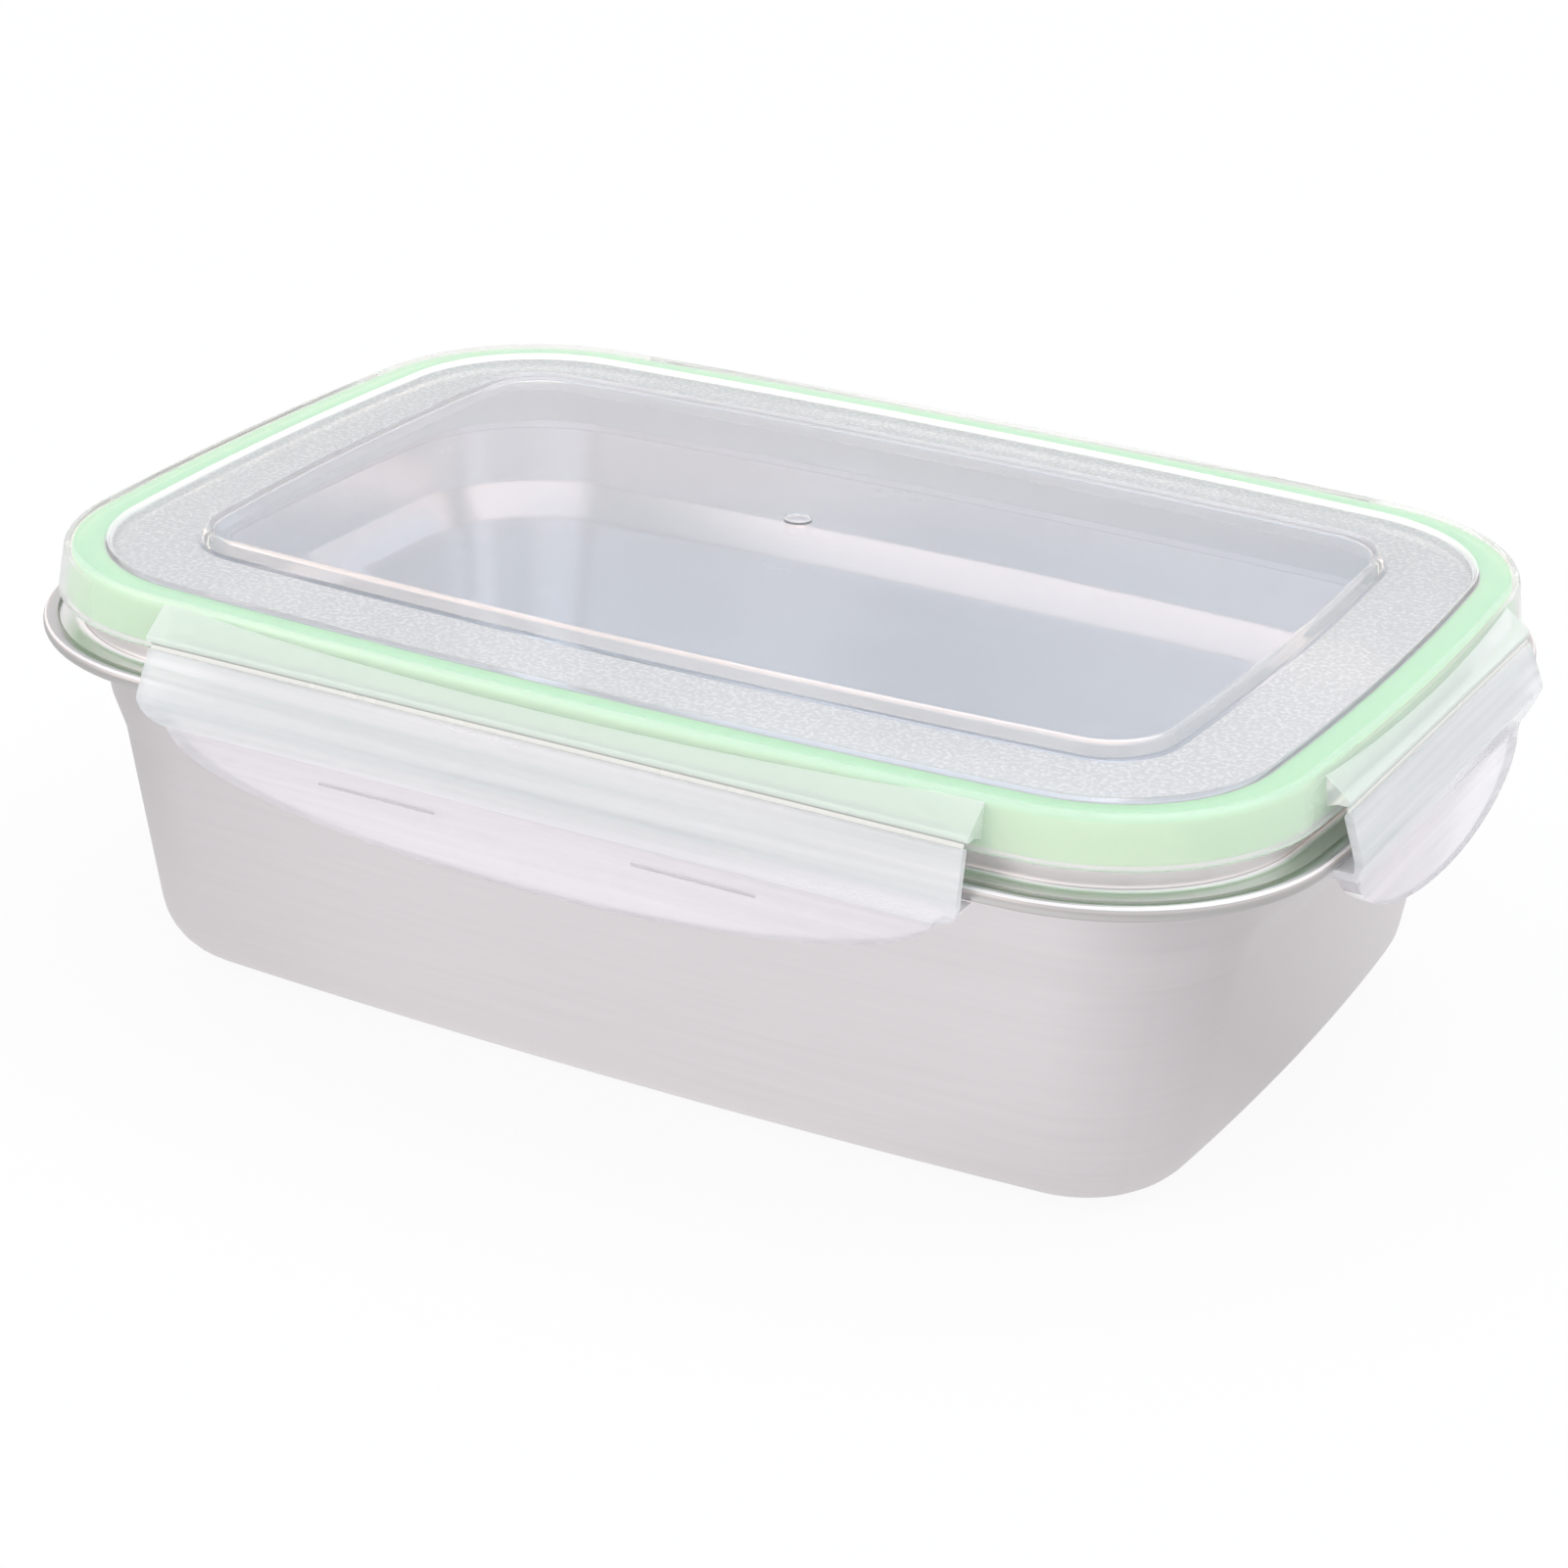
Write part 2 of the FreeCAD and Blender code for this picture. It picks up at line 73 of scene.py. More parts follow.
swing_round = Matrix.Rotation(AZIMUTH, 4, "Z")
tip_up = Matrix.Rotation(math.pi / 2 - ELEVATION, 4, "X")
camera_turn = swing_round @ tip_up @ Matrix.Rotation(ROLL, 4, "Z")
camera_place = TARGET + camera_turn.to_3x3() @ Vector((0, 0, DISTANCE))
bpy.ops.object.camera_add(location=camera_place, rotation=camera_turn.to_euler())
camera = bpy.context.object
camera.data.lens = LENS
camera.data.sensor_width = SENSOR
camera.data.clip_start = NEAREST
bpy.context.scene.camera = camera
print("camera at", [round(value, 3) for value in camera_place])

# %% [markdown]
# ## One outline for everything
# Seen from above, every edge of the box is the same bowed rectangle, moved in or out.
# It is eight arcs that run into each other: four wide ones for the sides and four tight corners.
# A curve with a bevel could follow it, but such a curve only comes close to an arc.
# So each ring-shaped piece is a section that is spun around those arcs, one after another.
# The section starts halfway along a short side, so that side is spun in two halves: nine spins in all.
# It can be tried by hand: draw the section, then use Spin with the 3D cursor at the centre of each arc.

# %% The arcs of the lid edge
HALF_LENGTH = 116.0
HALF_WIDTH = 82.5
CORNER_RADIUS = 37.0
LONG_RADIUS = 1320.0
SHORT_RADIUS = 690.0
SIDE_STEPS, CORNER_STEPS = 12, 20
long_middle = Vector((0, HALF_WIDTH - LONG_RADIUS))
short_middle = Vector((HALF_LENGTH - SHORT_RADIUS, 0))


def corner_centre():
    """Centre of the arc at the +X, +Y corner, where it runs into both bowed sides."""
    long_gap = LONG_RADIUS - CORNER_RADIUS
    short_gap = SHORT_RADIUS - CORNER_RADIUS
    between = short_middle - long_middle
    along = (long_gap ** 2 - short_gap ** 2 + between.length_squared) / (2 * between.length)
    across = math.sqrt(long_gap ** 2 - along ** 2)
    ahead = between.normalized()
    return long_middle + ahead * along + Vector((ahead.y, -ahead.x)) * across


corner = corner_centre()
# half of the angle that each bowed side turns through
short_swing = math.atan2(corner.y, corner.x - short_middle.x)
long_swing = math.atan2(corner.x, corner.y - long_middle.y)
corner_swing = math.pi / 2 - short_swing - long_swing
EDGE_ARCS = [
    ((short_middle.x, 0), short_swing, SIDE_STEPS // 2),
    ((corner.x, -corner.y), corner_swing, CORNER_STEPS),
    ((0, -long_middle.y), 2 * long_swing, SIDE_STEPS),
    ((-corner.x, -corner.y), corner_swing, CORNER_STEPS),
    ((-short_middle.x, 0), 2 * short_swing, SIDE_STEPS),
    ((-corner.x, corner.y), corner_swing, CORNER_STEPS),
    ((0, long_middle.y), 2 * long_swing, SIDE_STEPS),
    ((corner.x, corner.y), corner_swing, CORNER_STEPS),
    ((short_middle.x, 0), short_swing, SIDE_STEPS // 2),
]
print("corner centre", round(corner.x, 2), round(corner.y, 2), "steps", sum(arc[2] for arc in EDGE_ARCS))

# %% [markdown]
# ## Drawing a section
# A section is listed as its sharp corners, each with the radius that rounds it.
# That is how a drawing would give it, and it keeps the list short.
# A Bevel modifier could round the corners later, but each corner here has a radius of its own.
# The first helper turns a corner with a radius into a short run of points on its arc.
# The second draws the points as a chain of edges: one vertex is extruded from point to point.

# %% Section helpers
def rounded(corners, closed=False, segments=6):
    """Points through corners (a, b) or (a, b, radius), with each rounded corner as an arc."""
    points = []
    count = len(corners)
    for number, item in enumerate(corners):
        here = Vector(item[:2])
        at_end = not closed and number in (0, count - 1)
        if len(item) == 2 or at_end:
            points.append(here)
            continue
        into = (here - Vector(corners[number - 1][:2])).normalized()
        out = (Vector(corners[(number + 1) % count][:2]) - here).normalized()
        bend = into.angle_signed(out)
        run = item[2] * math.tan(abs(bend) / 2)
        side = Vector((-into.y, into.x)) * (-item[2] if bend > 0 else item[2])
        middle = here - into * run + side
        for step in range(segments + 1):
            turn = Matrix.Rotation(-bend * step / segments, 2)
            points.append(middle - turn @ side)
    return points


def draw_chain(name, points):
    """A chain of edges through points (x, y, z), drawn by extruding one vertex."""
    bpy.ops.object.select_all(action="DESELECT")
    bpy.ops.mesh.primitive_plane_add(size=MM, location=points[0])
    piece = bpy.context.object
    piece.name = name
    bpy.ops.object.transform_apply(location=True)
    bpy.ops.object.mode_set(mode="EDIT")
    bpy.ops.mesh.select_all(action="SELECT")
    bpy.ops.mesh.merge(type="CENTER")
    for before, after in zip(points, points[1:]):
        move = Vector(after) - Vector(before)
        bpy.ops.mesh.extrude_vertices_move(TRANSFORM_OT_translate={"value": move})
    bpy.ops.object.mode_set(mode="OBJECT")
    return piece


# %% [markdown]
# The ring helper draws a section where the ring crosses +X, and spins it round the arcs.
# A spin leaves double points where it meets itself, so they are merged before normals are set.
# A section with free ends leaves two holes in the middle, and filling them makes a flat floor.

# %% Ring helper
MERGE = 0.004 * MM
SMOOTH_ANGLE = math.radians(35)


def spin_ring(name, section, closed=False, segments=6):
    """Draws a section of (inset, height, radius) corners where the ring crosses +X and spins it round."""
    flat = rounded(section, closed, segments)
    points = [((HALF_LENGTH - point.x) * MM, 0, point.y * MM) for point in flat]
    if closed:
        points.append(points[0])
    piece = draw_chain(name, points)
    bpy.ops.object.mode_set(mode="EDIT")
    bpy.ops.mesh.select_all(action="SELECT")
    bpy.ops.mesh.remove_doubles(threshold=MERGE / 2)
    for (x, y), swing, steps in EDGE_ARCS:
        bpy.ops.mesh.spin(steps=steps, angle=swing, center=(x * MM, y * MM, 0), axis=(0, 0, 1))
    bpy.ops.mesh.select_all(action="SELECT")
    bpy.ops.mesh.remove_doubles(threshold=MERGE)
    bpy.ops.mesh.fill_holes(sides=0)
    bpy.ops.mesh.select_all(action="SELECT")
    bpy.ops.mesh.normals_make_consistent(inside=False)
    bpy.ops.object.mode_set(mode="OBJECT")
    bpy.ops.object.shade_smooth_by_angle(angle=SMOOTH_ANGLE)
    print(name, len(piece.data.polygons), "faces")
    return piece


# %% [markdown]
# ## The steel tub
# The tub is pressed from one sheet. Its wall leans out from a rounded foot to a neck,
# with a shallow step on the way, where one tub stands in another when they are stacked.
# Above the neck a folded bead makes the sealing edge. Outside it a shelf runs to a rolled lip.
# A Solidify modifier could thicken a single surface, but it would not keep the rolled lip round.
# So the section goes along the base, up the outside, round the lip, and back down the inside.

# %% Tub
SHEET = 0.6
BASE_INSET = 31.0
NECK_INSET, NECK_HEIGHT = 7.1, 61.0
BEAD_OUTSIDE, BEAD_TOP = 3.9, 72.6
SHELF_TOP = 63.4
LIP_REACH, LIP_TOP, LIP_BOTTOM, LIP_ROUND = 2.8, 64.2, 61.4, 1.3
LIP_ROOT_ROUND = 0.5
FOLD_OUTSIDE, FOLD_INSIDE = 1.8, 1.2
SHELF_OUTSIDE, SHELF_INSIDE = 1.5, 2.1
# inset, height, outside radius and inside radius of the foot, the step and the neck
WALL = [
    (17.3, 0.0, 12.2, 11.6), (10.45, 43.5, 4.0, 9.0), (8.15, 50.5, 9.0, 4.0),
    (NECK_INSET, NECK_HEIGHT, 3.0, 3.6),
]

outside = [(inset, height, radius) for inset, height, radius, _ in WALL]
inside = [(inset + SHEET, max(height, SHEET), radius) for inset, height, _, radius in reversed(WALL)]
bead_inside = [
    (NECK_INSET, BEAD_TOP - SHEET, FOLD_INSIDE), (BEAD_OUTSIDE + SHEET, BEAD_TOP - SHEET, FOLD_INSIDE),
    (BEAD_OUTSIDE + SHEET, SHELF_TOP - SHEET, SHELF_INSIDE), (0, SHELF_TOP - SHEET),
]
lip = [
    (0, LIP_BOTTOM, LIP_ROUND), (-LIP_REACH, LIP_BOTTOM, LIP_ROUND), (-LIP_REACH, LIP_TOP, LIP_ROUND),
    (0, LIP_TOP, LIP_ROOT_ROUND), (0, SHELF_TOP),
]
bead = [
    (BEAD_OUTSIDE, SHELF_TOP, SHELF_OUTSIDE), (BEAD_OUTSIDE, BEAD_TOP, FOLD_OUTSIDE),
    (NECK_INSET + SHEET, BEAD_TOP, FOLD_OUTSIDE),
]
tub_section = [(BASE_INSET, 0), *outside, *bead_inside, *lip, *bead, *inside, (BASE_INSET, SHEET)]
tub = spin_ring("steel_tub", tub_section, segments=8)
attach(tub, "container")
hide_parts("container")

# %% [markdown]
# ## The clear lid
# The lid is one thin moulding: a raised panel, a frosted band, a rim, and a skirt that plugs the tub.
# It has nearly the same wall all over, as a moulding needs, so its underside follows its top.
# A Solidify modifier could give it that wall, but not the groove for the seal, so both sides are drawn.
# The section starts on top of the panel, goes out and over the rim, and comes back underneath.
# Its two free ends lie on the panel, so filling them closes the panel's top and its underside.

# %% Lid shell
LID_WALL = 1.4
FINE, SMALL, PANEL_ROUND, FOOT_ROUND, RIM_ROUND = 0.3, 0.5, 1.2, 1.0, 1.8
PANEL_END, PANEL_INSET, PANEL_FOOT, PANEL_TOP = 27.8, 25.1, 24.3, 79.0
BAND_EDGE, BAND_TOP = 9.2, 76.1
RIM_INSIDE, RIM_OUTSIDE, RIM_TOP, RIM_BOTTOM = 8.5, 1.3, 77.1, 68.5
GROOVE_OUTSIDE, GROOVE_INSIDE = 2.49, 8.2
SKIRT_WALL, SKIRT_DRAFT, SKIRT_BOTTOM = 1.3, 0.4, 63.2

lid_top = [
    (PANEL_END, PANEL_TOP), (PANEL_INSET, PANEL_TOP, PANEL_ROUND), (PANEL_FOOT, BAND_TOP, FOOT_ROUND),
    (BAND_EDGE, BAND_TOP, SMALL), (RIM_INSIDE, RIM_TOP, SMALL), (RIM_OUTSIDE, RIM_TOP, RIM_ROUND),
    (0, RIM_BOTTOM, FINE),
]
lid_groove = [
    (LID_WALL, RIM_BOTTOM, FINE), (GROOVE_OUTSIDE, RIM_TOP - LID_WALL, FINE),
    (GROOVE_INSIDE, RIM_TOP - LID_WALL, FINE),
]
lid_skirt = [
    (GROOVE_INSIDE + SKIRT_DRAFT, SKIRT_BOTTOM, FINE),
    (GROOVE_INSIDE + SKIRT_DRAFT + SKIRT_WALL, SKIRT_BOTTOM, FINE),
    (GROOVE_INSIDE + SKIRT_WALL, BAND_TOP - LID_WALL, SMALL),
]
lid_under = [
    (PANEL_FOOT + LID_WALL, BAND_TOP - LID_WALL, FINE),
    (PANEL_INSET + LID_WALL, PANEL_TOP - LID_WALL, FINE), (PANEL_END, PANEL_TOP - LID_WALL),
]
lid = spin_ring("clear_lid", lid_top + lid_groove + lid_skirt + lid_under)

# %% [markdown]
# ## The hinge blocks
# On each side a straight block stands out of the bowed rim, and the film of a latch hangs from it.
# A block is a filled section that is extruded along its side, and its outer edge is made shorter.
# A Boolean then joins it to the rim, because the straight block meets the bowed wall at no fixed edge.
# Before that it is cut by a ring that fills the seal groove, so that it stays inside the wall of the lid.
# The front and right pieces are modelled, here and below, and the other two are turned copies.

# %% Helpers for straight pieces
def fill_and_extrude(move):
    """Fills the chain that was just drawn and extrudes it into a closed bar."""
    bpy.ops.object.mode_set(mode="EDIT")
    bpy.ops.mesh.select_all(action="SELECT")
    bpy.ops.mesh.remove_doubles(threshold=MERGE / 2)
    bpy.ops.mesh.select_all(action="SELECT")
    bpy.ops.mesh.edge_face_add()
    bpy.ops.mesh.extrude_region_move(TRANSFORM_OT_translate={"value": move})
    bpy.ops.mesh.select_all(action="SELECT")
    bpy.ops.mesh.normals_make_consistent(inside=False)
    bpy.ops.object.mode_set(mode="OBJECT")


def extrude_bar(name, section, side_reach, half_length, segments=5):
    """A closed section of (reach, height, radius) corners, extruded along the front of the box."""
    flat = rounded(section, closed=True, segments=segments)
    points = [(-half_length * MM, -(side_reach + point.x) * MM, point.y * MM) for point in flat]
    bar = draw_chain(name, points + points[:1])
    fill_and_extrude((2 * half_length * MM, 0, 0))
    return bar


def select_only(piece):
    """Selects one piece and makes it active."""
    bpy.ops.object.select_all(action="DESELECT")
    piece.select_set(True)
    bpy.context.view_layer.objects.active = piece


def turn_piece(piece, quarter_turns):
    """Turns a piece about the middle of the box, in its mesh."""
    select_only(piece)
    piece.rotation_euler.z = quarter_turns * math.pi / 2
    bpy.ops.object.transform_apply(location=True, rotation=True, scale=True)


def opposite(piece, name):
    """A copy of a piece, with its own mesh, on the other side of the box."""
    select_only(piece)
    bpy.ops.object.duplicate(linked=False)
    copy = bpy.context.object
    copy.name = name
    turn_piece(copy, quarter_turns=2)
    return copy


def combine(piece, tool, operation):
    """Applies a Boolean of the piece with the tool and removes the tool."""
    select_only(piece)
    boolean = piece.modifiers.new(operation.lower(), "BOOLEAN")
    boolean.operation = operation
    boolean.solver = "EXACT"
    boolean.object = tool
    bpy.ops.object.modifier_apply(modifier=boolean.name)
    bpy.data.objects.remove(tool, do_unlink=True)


# %% Hinge blocks on the lid
FILM_TOP, FILM_BOTTOM = 71.65, 70.85
BLOCK_REACH, BLOCK_ROOT = 1.9, 3.2
BLOCK_TOP, BLOCK_FOOT = 76.5, 70.5
BLOCK_EDGE, BLOCK_LEDGE = 0.9, 0.1
LONG_BLOCK, SHORT_BLOCK = 77.0, 44.2
TAPER, TAPER_START = 2.5, 1.0
block_section = [
    (-BLOCK_ROOT, BLOCK_TOP), (BLOCK_REACH, FILM_TOP + BLOCK_EDGE, SMALL), (BLOCK_REACH, FILM_TOP),
    (-BLOCK_LEDGE, FILM_TOP), (-BLOCK_ROOT, BLOCK_FOOT),
]
# the filler is a little larger than the groove, so that the block ends inside the wall of the lid
OVERSIZE = 0.3
FILLER_TOP, FILLER_BOTTOM = 76.0, 60.0
FILLER_OUTSIDE, FILLER_SHOULDER = 1.1, 2.2
groove_filler = [
    (FILLER_OUTSIDE, FILLER_BOTTOM), (FILLER_OUTSIDE, RIM_BOTTOM), (FILLER_SHOULDER, FILLER_TOP),
    (GROOVE_INSIDE + OVERSIZE, FILLER_TOP), (GROOVE_INSIDE + SKIRT_DRAFT + OVERSIZE, FILLER_BOTTOM),
]


def make_block(name, side_reach, half_length, quarter_turns):
    """A hinge block with a shorter outer edge, cut clear of the seal groove."""
    block = extrude_bar(name, block_section, side_reach, half_length)
    for vertex in block.data.vertices:
        vertex.select = vertex.co.y < -(side_reach + TAPER_START) * MM
    bpy.ops.object.mode_set(mode="EDIT")
    shorter = (half_length - TAPER) / half_length
    bpy.ops.transform.resize(value=(shorter, 1, 1), center_override=(0, 0, 0))
    bpy.ops.object.mode_set(mode="OBJECT")
    turn_piece(block, quarter_turns)
    combine(block, spin_ring("groove_filler", groove_filler, closed=True), "DIFFERENCE")
    return block


block_front = make_block("hinge_block_front", HALF_WIDTH, LONG_BLOCK, quarter_turns=0)
block_right = make_block("hinge_block_right", HALF_LENGTH, SHORT_BLOCK, quarter_turns=1)
block_back = opposite(block_front, "hinge_block_back")
block_left = opposite(block_right, "hinge_block_left")
for block in (block_front, block_right, block_back, block_left):
    combine(lid, block, "UNION")
print("lid with blocks:", len(lid.data.polygons), "faces")

# %% [markdown]
# ## The gate mark
# A small round mark near the middle of the panel shows where the plastic flowed into the mould.
# It is a short cylinder whose top is inset and pushed down, and then joined to the panel.
# A bump in the material would be less work, but its edge would not catch the light from the side.

# %% Gate mark
GATE_RADIUS, GATE_HEIGHT, GATE_EDGE, GATE_DEPTH = 2.5, 1.1, 0.7, 0.35
GATE_SIDES, GATE_BEVEL, GATE_SINK = 40, 0.15, 0.05
GATE_PLACE = Vector((-3.0, 6.6, PANEL_TOP - GATE_SINK)) * MM
FACES_UP = 0.9
bpy.ops.object.select_all(action="DESELECT")
bpy.ops.mesh.primitive_cylinder_add(
    vertices=GATE_SIDES, radius=GATE_RADIUS * MM, depth=GATE_HEIGHT * MM, location=GATE_PLACE)
gate = bpy.context.object
bpy.ops.object.transform_apply(location=True)
bpy.ops.object.mode_set(mode="EDIT")
bpy.ops.mesh.select_all(action="DESELECT")
bpy.ops.object.mode_set(mode="OBJECT")
for face in gate.data.polygons:
    face.select = face.normal.z > FACES_UP
bpy.ops.object.mode_set(mode="EDIT")
bpy.ops.mesh.inset(thickness=GATE_EDGE * MM)
bpy.ops.transform.translate(value=(0, 0, -GATE_DEPTH * MM))
bpy.ops.mesh.select_all(action="SELECT")
bpy.ops.mesh.bevel(offset=GATE_BEVEL * MM, segments=2, affect="EDGES", clamp_overlap=True)
bpy.ops.object.mode_set(mode="OBJECT")
combine(lid, gate, "UNION")
bpy.ops.object.shade_smooth_by_angle(angle=SMOOTH_ANGLE)
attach(lid, "lid")
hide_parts("lid")
print("lid:", len(lid.data.polygons), "faces")

# %% [markdown]
# ## The seal ring
# The silicone ring fills the groove of the lid: a web on top, and a leg down the outside of the bead.
# A curve with a round bevel would only make a plain cord, so its section is drawn and spun as well.
# The section is closed, so the spin makes a closed ring and there is nothing to fill.

# %% Seal ring
WEB_TOP, WEB_BOTTOM, LEG_BOTTOM = 75.65, 72.9, 68.75
WEB_OUTSIDE, WEB_INSIDE = 2.65, 8.1
LEG_OUTSIDE, LEG_INSIDE, LEG_ROUND = 1.6, 3.6, 0.4
seal_section = [
    (WEB_OUTSIDE, WEB_TOP, FINE), (WEB_INSIDE, WEB_TOP, FINE), (WEB_INSIDE, WEB_BOTTOM, SMALL),
    (LEG_INSIDE, WEB_BOTTOM, SMALL), (LEG_INSIDE, LEG_BOTTOM, LEG_ROUND), (LEG_OUTSIDE, LEG_BOTTOM, FINE),
]
seal = spin_ring("seal_ring", seal_section, closed=True)
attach(seal, "lid")
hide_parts("gasket")

# %% [markdown]
# ## The latches
# A latch is a curved strip with a catch behind it, and it runs out into a leaning pull tab below.
# It could be shaped from a flat plate, but its two views are simple and its surface is not.
# So its side view is extruded along the box, and its front view is cut out of that bar:
# ends that flare downwards, rounded corners, and a tab with a long elliptical edge.
# The long latches also have two narrow slots under the catch, where parts of the mould meet.

# %% Latch shape
# the front view starts above the hinge, so that its top edge cuts nothing off
STRIP_TOP, STRIP_BOTTOM = 71.3, 58.2
TAB_DROP = 11.4
TAB_SETBACK = 5.0
LATCH_CORNER = 4.2
TAB_STEPS = 36
TAB_FRONT, TAB_BACK = 5.4, 3.9
HINGE_FRONT, HINGE_BACK, HINGE_TOP, HINGE_ROUND = 2.35, 0.85, 70.55, 0.65
BULGE_FRONT, BULGE_BACK, BULGE_HEIGHT, BULGE_ROUND = 5.2, 3.7, 63.0, 2.5
WAIST_FRONT, WAIST_HEIGHT, WAIST_ROUND = 3.0, STRIP_BOTTOM - 1.2, 4.0
CATCH_REACH, CATCH_TOP = 0.8, 61.1
latch_section = [
    (HINGE_BACK, HINGE_TOP, HINGE_ROUND), (HINGE_FRONT, HINGE_TOP, HINGE_ROUND),
    (BULGE_FRONT, BULGE_HEIGHT, BULGE_ROUND), (WAIST_FRONT, WAIST_HEIGHT, WAIST_ROUND),
    (TAB_FRONT, STRIP_BOTTOM - TAB_DROP), (TAB_BACK, STRIP_BOTTOM - TAB_DROP),
    (-CATCH_REACH, STRIP_BOTTOM), (-CATCH_REACH, CATCH_TOP, SMALL),
    (BULGE_BACK, CATCH_TOP, SMALL), (BULGE_BACK, BULGE_HEIGHT, BULGE_ROUND),
]


def latch_outline(half_top, half_bottom):
    """Corners of the front view of a latch, from its top left round its tab."""
    half_tab = half_bottom - TAB_SETBACK
    angles = [math.pi * step / TAB_STEPS for step in range(TAB_STEPS + 1)]
    tab = [(half_tab * math.cos(angle), STRIP_BOTTOM - TAB_DROP * math.sin(angle)) for angle in angles]
    top = [(-half_top, STRIP_TOP), (half_top, STRIP_TOP)]
    right = (half_bottom, STRIP_BOTTOM, LATCH_CORNER)
    left = (-half_bottom, STRIP_BOTTOM, LATCH_CORNER)
    return top + [right] + tab + [left]


# %% Latch helpers
SLOT_LENGTH, SLOT_DEPTH, SLOT_HEIGHT = 22.0, 1.1, 0.4
SLOT_REACH, SLOT_LEVEL = 3.6, 55.0
CUT_START, CUT_DEPTH, BAR_SPARE = 9.0, 14.0, 2.0
LATCH_FLARE = 1.2
LATCH_BEVEL, BEVEL_ANGLE = 0.6, math.radians(40)
LATCH_SMOOTH_ANGLE = math.radians(32)


def cut_slot(latch, side_reach, middle):
    """Cuts one narrow slot into the tab, under the catch, with a flat box."""
    place = Vector((middle, -(side_reach + SLOT_REACH), SLOT_LEVEL)) * MM
    bpy.ops.object.select_all(action="DESELECT")
    bpy.ops.mesh.primitive_cube_add(size=MM, location=place)
    slot = bpy.context.object
    slot.scale = (SLOT_LENGTH, SLOT_DEPTH, SLOT_HEIGHT)
    bpy.ops.object.transform_apply(scale=True, location=True)
    combine(latch, slot, "DIFFERENCE")


def make_latch(name, side_reach, half_length, slot_middles, quarter_turns):
    """A latch with softened edges: the bar, cut to its front view."""
    latch = extrude_bar(name, latch_section, side_reach, half_length + BAR_SPARE, segments=6)
    flat = rounded(latch_outline(half_length - LATCH_FLARE, half_length), closed=True, segments=8)
    outline = [(point.x * MM, -(side_reach + CUT_START) * MM, point.y * MM) for point in flat]
    front_view = draw_chain("front_view", outline + outline[:1])
    fill_and_extrude((0, CUT_DEPTH * MM, 0))
    combine(latch, front_view, "INTERSECT")
    for middle in slot_middles:
        cut_slot(latch, side_reach, middle)
    edge = latch.modifiers.new("edge", "BEVEL")
    edge.width = LATCH_BEVEL * MM
    edge.segments = 3
    edge.limit_method = "ANGLE"
    edge.angle_limit = BEVEL_ANGLE
    bpy.ops.object.modifier_apply(modifier=edge.name)
    turn_piece(latch, quarter_turns)
    bpy.ops.object.shade_smooth_by_angle(angle=LATCH_SMOOTH_ANGLE)
    return latch


# %% Four latches
LONG_LATCH, SHORT_LATCH = 75.0, 42.7
SLOT_MIDDLES = (-29, 29)
latch_front = make_latch("milky_latch_front", HALF_WIDTH, LONG_LATCH, SLOT_MIDDLES, quarter_turns=0)
latch_right = make_latch("milky_latch_right", HALF_LENGTH, SHORT_LATCH, (), quarter_turns=1)
latch_back = opposite(latch_front, "milky_latch_back")
latch_left = opposite(latch_right, "milky_latch_left")
LATCHES = {"front": latch_front, "right": latch_right, "back": latch_back, "left": latch_left}
for side, latch in LATCHES.items():
    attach(latch, "latch_" + side)
    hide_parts("latch_" + side)
    print(latch.name, len(latch.data.polygons), "faces")

# %% [markdown]
# ## The film hinges
# Between block and latch the plastic is only a thin film, which bends each time the latch opens.
# A stiff strip would tear away from one of them, so the film is a bar with many rows across the bend.

# %% Films
FILM_INSIDE, FILM_OUTSIDE = 1.4, 1.8
FILM_OVERLAP = 0.1
FILM_SETBACK = 1.4
FILM_FOOT = 70.45
FILM_ROWS = 8
film_head = FILM_TOP + FILM_OVERLAP
film_levels = [film_head + (FILM_FOOT - film_head) * row / FILM_ROWS for row in range(FILM_ROWS + 1)]
film_section = [(FILM_INSIDE, level) for level in film_levels]
film_section += [(FILM_OUTSIDE, level) for level in reversed(film_levels)]
film_middle = (FILM_INSIDE + FILM_OUTSIDE) / 2

film_front = extrude_bar("hinge_film_front", film_section, HALF_WIDTH, LONG_LATCH - FILM_SETBACK)
film_right = extrude_bar("hinge_film_right", film_section, HALF_LENGTH, SHORT_LATCH - FILM_SETBACK)
turn_piece(film_right, quarter_turns=1)
film_back = opposite(film_front, "hinge_film_back")
film_left = opposite(film_right, "hinge_film_left")
FILMS = {
    "front": (film_front, (0, -HALF_WIDTH - film_middle)),
    "right": (film_right, (HALF_LENGTH + film_middle, 0)),
    "back": (film_back, (0, HALF_WIDTH + film_middle)),
    "left": (film_left, (-HALF_LENGTH - film_middle, 0)),
}
for side, (film, (x, y)) in FILMS.items():
    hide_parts("living_hinge_" + side)
    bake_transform(film)
    print(film.name, len(film.data.polygons), "faces")

# %% [markdown]
# ## Materials
# Each finish is one Principled shader. What is the same all over is set on its own sockets.
# Noise in Object coordinates varies the colour and the gloss, because no real surface is even.
# Object coordinates need no unwrapping, and they stay put when a piece moves.

# %% Material helpers
def new_finish(name, colour, **values):
    """A material with a Principled shader: (material, node tree, shader)."""
    material = bpy.data.materials.new(name)
    material.use_nodes = True
    shader = material.node_tree.nodes["Principled BSDF"]
    shader.inputs["Base Color"].default_value = (*colour, 1)
    for socket, value in values.items():
        shader.inputs[socket.replace("_", " ")].default_value = value
    return material, material.node_tree, shader


# the stretch of a noise that is the same in all directions
EVEN = (1, 1, 1)


